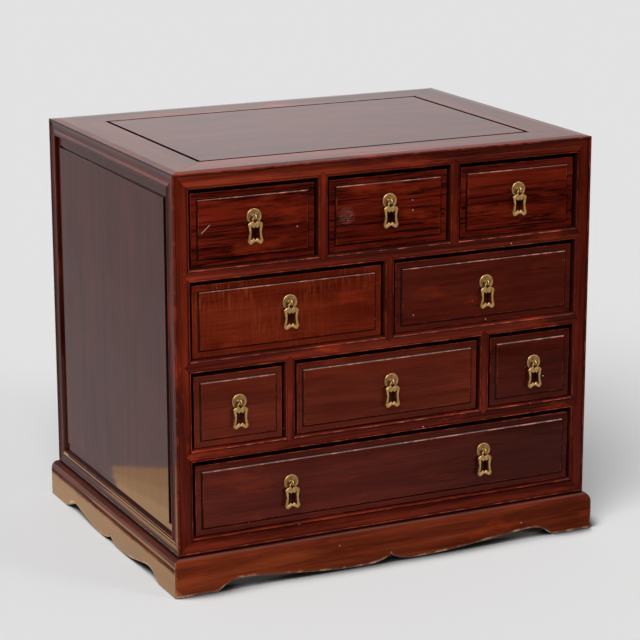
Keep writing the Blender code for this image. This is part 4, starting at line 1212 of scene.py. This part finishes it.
def pin_mesh(back):
    """Split pin: round eye, neck through the front, two legs bent apart behind it. All of it is marked
    rubbed, which keeps it bright as a painted highlight.
    """
    bm = bmesh.new()
    centre = -PIN_NECK - EYE_RADIUS
    loop = [(0, centre + EYE_RADIUS * cos, EYE_RADIUS * sin) for cos, sin in circle(EYE_SIDES)]
    add_tube(bm, loop, [(EYE_WIRE * 0.87, EYE_WIRE)] * EYE_SIDES, 12, closed=True)
    shank = [(0, -PIN_NECK - 0.0004, 0), (0, back - 0.0004, 0)]
    add_tube(bm, shank, [(PIN_RADIUS, PIN_RADIUS)] * 2, 14)
    thick = PIN_LEG_THICKNESS / 2
    for up in (-1, 1):
        leg = [
            (0, back - 0.0010, up * 0.0004),
            (0, back + thick * 0.5, up * 0.0012),
            (0, back + thick, up * 0.0030),
            (0, back + thick, up * (PIN_LEG_LENGTH - 0.001)),
            (0, back + thick, up * PIN_LEG_LENGTH),
        ]
        widths = [(PIN_RADIUS * 0.7, thick * 0.95)] * 4 + [(PIN_RADIUS * 0.35, thick * 0.5)]
        add_tube(bm, leg, widths, 8)
    return finished_mesh("split_pin", bm, lambda place: 1.0)


def smooth_loop(half, steps):
    """Closed outline from a right half, given top to bottom on the middle line, as a smooth curve."""
    loop = [Vector(point) for point in (*half, *((-x, z) for x, z in reversed(half[1:-1])))]
    points = []
    for here, start in enumerate(loop):
        before, end, after = (loop[(here + step) % len(loop)] for step in (-1, 1, 2))
        bend = 2 * before - 5 * start + 4 * end - after
        twist = 3 * start - before - 3 * end + after
        for step in range(steps):
            t = step / steps
            points.append(start + (t * (end - before) + t * t * bend + t**3 * twist) / 2)
    return points


def mirrored_loop(half):
    """Closed outline with sharp corners from a right half."""
    return [*half, *((-x, z) for x, z in reversed(half) if x > 0)]


# Right halves of the pendant's outlines: shares of its half width and of its drop
PENDANT_OUTLINE = (
    (0.42, 0.075), (0.40, 0.150), (0.64, 0.182), (0.94, 0.255), (0.93, 0.350), (0.82, 0.560),
    (0.93, 0.780), (1.00, 0.900), (0.70, 1.000), (0.32, 0.955), (0.00, 0.905),
)
WINDOW_OUTLINE = (
    (0.00, 0.348), (0.20, 0.410), (0.57, 0.330), (0.53, 0.575), (0.62, 0.872), (0.22, 0.782), (0.00, 0.850),
)


def pendant_mesh():
    """Cast pendant about its pivot: waisted plate with a cusped window and rounded edges."""
    half = PENDANT_WIDTH / 2
    outer, window = (
        [(across * half, -down * PENDANT_DROP) for across, down in outline]
        for outline in (PENDANT_OUTLINE, WINDOW_OUTLINE)
    )
    wide = EYE_WIRE + EYELET_PLAY
    deep = EYE_RADIUS + EYE_WIRE + EYELET_SLACK
    middle = (PENDANT_BAR + deep) / 2
    eyelet = [(0, -PENDANT_BAR)]
    for step in range(1, 8):
        angle = math.pi * step / 8
        eyelet.append((wide * math.sin(angle), -middle + (middle - PENDANT_BAR) * math.cos(angle)))
    eyelet.append((0, -deep))
    curve = bpy.data.curves.new("pendant_outline", "CURVE")
    curve.dimensions = "2D"
    curve.fill_mode = "BOTH"
    curve.extrude = PENDANT_THICKNESS / 2 - PENDANT_EDGE
    curve.bevel_depth = PENDANT_EDGE
    curve.bevel_resolution = 4
    curve.offset = -PENDANT_EDGE
    loops = (smooth_loop([(0, PENDANT_BAR), *outer], 7), mirrored_loop(window), mirrored_loop(eyelet))
    for loop in loops:
        spline = curve.splines.new("POLY")
        spline.points.add(len(loop) - 1)
        for point, (x, z) in zip(spline.points, loop):
            point.co = (x, z, 0, 1)
        spline.use_cyclic_u = True
    drawing = linked("pendant_drawing", curve)
    bm = evaluated(drawing)
    bpy.data.objects.remove(drawing)
    bmesh.ops.remove_doubles(bm, verts=bm.verts[:], dist=1e-6)
    bm.transform(Matrix.Rotation(math.pi / 2, 4, "X"))
    return finished_mesh("pendant", bm)


def add_pull(drawer, hand, face_y, meshes):
    """Rosette, split pin and pendant where the solid pull is."""
    mount, hanging = f"{drawer}_pull_mount{hand}", f"{drawer}_pendant{hand}"
    low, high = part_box(mount)
    x, z = (low.x + high.x) / 2, (low.z + high.z) / 2
    rosette, pin, pendant = meshes
    for label, mesh in (("rosette", rosette), ("split_pin", pin)):
        add_piece(f"{drawer}_{label}{hand}", mesh, BRASS, drawer, mount, (x, face_y, z))
    hang = (x, face_y - PIN_NECK - EYE_RADIUS, z + PENDANT_BAR + PENDANT_PLAY - EYE_INNER)
    add_piece(f"{hanging}_brass", pendant, BRASS, hanging, hanging, hang, flat=False)


def add_tray(drawer):
    """Tray of two sides, a back and a bottom board."""
    low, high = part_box(f"{drawer}_tray")
    inner_low, inner_high = low.x + TRAY_SIDE, high.x - TRAY_SIDE
    back = high.y - TRAY_SIDE
    floor = low.z + TRAY_BOTTOM
    boards = (
        ("side_left", low, (inner_low, high.y, high.z), "Y"),
        ("side_right", (inner_high, low.y, low.z), high, "Y"),
        ("back", (inner_low + GAP, back, low.z), (inner_high - GAP, high.y, high.z), "X"),
        ("bottom", (inner_low + GAP, low.y, low.z), (inner_high - GAP, back - GAP, floor), "X"),
    )
    for label, start, end, axis in boards:
        add_board(f"{drawer}_{label}", start, end, INNER_MATERIALS[axis], drawer, f"{drawer}_tray")


def add_drawer(number, meshes):
    """Drawer front, tray boards and pulls."""
    drawer = f"drawer_{number}"
    solid = f"{drawer}_front"
    low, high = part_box(solid)
    width, height = high.x - low.x, high.z - low.z
    middle = (low + high) / 2
    thickness = high.y - low.y - FRONT_FIELD_RISE
    bm = raised_panel(width, height, thickness, FRONT_BORDER, FRONT_FIELD_RISE, FRONT_FIELD_BEVEL, True)
    bm.transform(Matrix.Translation((middle.x, low.y, middle.z)))
    material = DRAWER_MATERIALS[number - 1]
    add_piece(f"{solid}_wood", bm, material, drawer, solid)
    add_tray(drawer)
    for hand in pull_hands(drawer):
        add_pull(drawer, hand, low.y, meshes)


# Stage, light and camera

CAMERA_PLACE = (-1.3759, -2.8767, 1.1128)
CAMERA_PITCH = 14.690
CAMERA_YAW = 25.687
CAMERA_ROLL = -0.1008
CAMERA_LENS = 134.29
BACKGROUND = 0.752
BACKDROP_LEAN = 0.22
FLOOR_SHADE = 0.940
# Painted shadow on the floor from ambient occlusion: its darkest level, range, reach and lean
PAINTED_SHADOW_LEVEL = 0.05
PAINTED_SHADOW_RANGE = (0.455, 0.675)
PAINTED_SHADOW_REACH = 0.06
PAINTED_SHADOW_LEAN = (-0.50, 0.25, 0.83)
FILL = 0.24
LAMPS = (("soft_key", 2.3, 45, (-0.45, -0.48, 0.76)), ("soft_front", 1.0, 16, (0.62, -0.77, 0.14)))
FLOOR_HALF = 40.0
FLOOR_LEVEL = -0.0002
CARD_LEVEL = 0.0002
CARD_STEP = 0.0001
CARD_RIGHT = 9.0
SIDE_CARD_START = -0.30

# What the gloss shows of the floor: name, left, near and far edge, and strength
FLOOR_CARDS = (
    ("grey_card", -6.0, -0.24, 6.0, 0.40),
    ("foot_card", -9.0, -0.42, -0.24, 0.02),
    ("near_card", -9.0, -0.64, -0.42, 0.10),
    ("dim_card", -9.0, -1.00, -0.64, 0.05),
    ("dark_card", -9.0, -9.0, -1.00, 0.0),
)
# What the left side shows, by places on it: name, far edge, height of the lower edge, heights of the upper
# edge at its near and far end, colour and strength
PLAIN = (1.0, 1.0, 1.0)
TAN = (1.0, 0.67, 0.36)
SIDE_CARDS = (
    ("middle_band", 0.30, 0.27, 0.60, 0.60, PLAIN, 0.375),
    ("upper_band", 0.30, 0.37, 0.60, 0.60, PLAIN, 0.35),
    ("dim_band", 0.30, 0.020, 0.060, 0.060, PLAIN, 0.06),
    ("tan_patch", 0.02, 0.058, 0.190, 0.102, TAN, 1.05),
    ("tan_middle", 0.02, 0.058, 0.150, 0.092, TAN, 1.25),
    ("tan_bright", 0.02, 0.058, 0.115, 0.082, TAN, 1.55),
    ("tan_foot", 0.30, -0.004, 0.0405, 0.0405, (1.0, 0.69, 0.41), 1.52),
)


def stage_sheet(name, corners, z, material):
    """Level stage plane through four corners."""
    bm = bmesh.new()
    bm.faces.new([bm.verts.new((x, y, z)) for x, y in corners])
    item = linked(name, raw_mesh(name, bm))
    item.data.materials.append(material)
    item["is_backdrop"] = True
    return item


def mirrored_at(y, z):
    """Floor point that the camera sees in the left side at a place on it."""
    side = Vector((-HALF_W, y, z))
    ray = side - Vector(CAMERA_PLACE)
    reach = z / -ray.z
    return (side.x - ray.x * reach, y + ray.y * reach)


def reflection_card(name, corners, level, colour, strength):
    """Shining card beside the chest that only its gloss shows."""
    material, graph, shader = start_material(name)
    matt = {"Base Color": (0.0, 0.0, 0.0, 1.0), "Roughness": 1.0, "Specular IOR Level": 0.0}
    graph.fill(shader, {**matt, "Emission Color": rgba(colour), "Emission Strength": strength})
    card = stage_sheet(name, corners, level, material)
    card.visible_camera = False
    card.visible_diffuse = False
    card.visible_shadow = False
    card.visible_transmission = False


def add_floor():
    """Pale matt floor with a painted shadow where the stand touches it, darker in front and to the right."""
    material, graph, shader = start_material("stage_floor")
    lean = graph.add("CombineXYZ", dict(enumerate(PAINTED_SHADOW_LEAN))).outputs[0]
    contact = {"Distance": PAINTED_SHADOW_REACH, "Normal": lean}
    open_sky = graph.add("AmbientOcclusion", contact, samples=16).outputs["AO"]
    shade = graph.span(open_sky, *PAINTED_SHADOW_RANGE, PAINTED_SHADOW_LEVEL * FLOOR_SHADE, FLOOR_SHADE)
    colour = graph.shade(PLAIN, shade)
    graph.fill(shader, {"Base Color": colour, "Roughness": 1.0, "Specular IOR Level": 0.0})
    corners = [(x * FLOOR_HALF, y * FLOOR_HALF) for x, y in ((-1, -1), (1, -1), (1, 1), (-1, 1))]
    stage_sheet("stage_floor", corners, FLOOR_LEVEL, material)


def add_cards():
    """Cards that the gloss shows, those of the left side one over another."""
    for name, left, near, far, strength in FLOOR_CARDS:
        corners = ((left, near), (CARD_RIGHT, near), (CARD_RIGHT, far), (left, far))
        reflection_card(name, corners, CARD_LEVEL, PLAIN, strength)
    level = CARD_LEVEL
    for name, far, low, near_top, far_top, colour, strength in SIDE_CARDS:
        level += CARD_STEP
        places = ((SIDE_CARD_START, low), (far, low), (far, far_top), (SIDE_CARD_START, near_top))
        reflection_card(name, [mirrored_at(*place) for place in places], level, colour, strength)


def add_world():
    """Soft surround: pale to the camera. The gloss shows a lit backdrop behind the chest, a soft box over it
    and a dark room."""
    world = bpy.data.worlds.new("surround")
    world.use_nodes = True
    graph = Graph(world.node_tree)
    span, times, plus = graph.span, graph.times, graph.plus
    x, y, z = graph.split(graph.coords["Generated"])
    level = graph.math("SUBTRACT", z, times(x, BACKDROP_LEAN))
    backdrop = times(span(y, -0.1, 0.8, 0.03, 0.66), span(level, 0.13, 0.27, 1.0, 0.2))
    backdrop = times(backdrop, span(x, 0.40, 0.53, 1.0, 0.84))
    soft_box = span(z, 0.72, 0.90, 0.0, 0.9)
    path = graph.add("LightPath").outputs
    shown = times(plus(backdrop, soft_box), path["Is Glossy Ray"])
    shown = plus(shown, times(path["Is Camera Ray"], BACKGROUND))
    strength = plus(shown, times(path["Is Diffuse Ray"], span(z, 0.05, 0.55, 0.0, FILL)))
    graph.fill(world.node_tree.nodes["Background"], {"Color": rgba(PLAIN), "Strength": strength})
    bpy.context.scene.world = world


def add_lamps():
    """Soft lamps, of which the gloss shows the first."""
    for name, energy, angle, place in LAMPS:
        sun = bpy.data.lights.new(name, "SUN")
        sun.energy = energy
        sun.angle = math.radians(angle)
        lamp = linked(name, sun)
        lamp.rotation_euler = Vector(place).to_track_quat("Z", "Y").to_euler()
        lamp.visible_glossy = name == "soft_key"


def add_camera():
    """Camera at the photo's angle."""
    camera = linked("camera", bpy.data.cameras.new("camera"))
    camera.data.lens = CAMERA_LENS
    camera.location = CAMERA_PLACE
    turn = Matrix.Rotation(math.radians(-CAMERA_YAW), 4, "Z")
    turn @= Matrix.Rotation(math.radians(90 - CAMERA_PITCH), 4, "X")
    turn @= Matrix.Rotation(math.radians(CAMERA_ROLL), 4, "Z")
    camera.rotation_euler = turn.to_euler()
    bpy.context.scene.camera = camera
    bpy.context.scene.view_settings.view_transform = "Standard"


add_posts()
add_case_frame()
add_shelves()
add_dividers()
add_panels()
add_stand()
FRONT_LOW, FRONT_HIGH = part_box("drawer_1_front")
PULL_MESHES = (rosette_mesh(), pin_mesh(FRONT_HIGH.y - FRONT_LOW.y + GAP), pendant_mesh())
for drawer_number in range(1, 10):
    add_drawer(drawer_number, PULL_MESHES)
add_floor()
add_cards()
add_world()
add_lamps()
add_camera()

boxes = {"cad": CAD_BOX, "visual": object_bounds()}
{key: [list(corner) for corner in box] for key, box in boxes.items()}
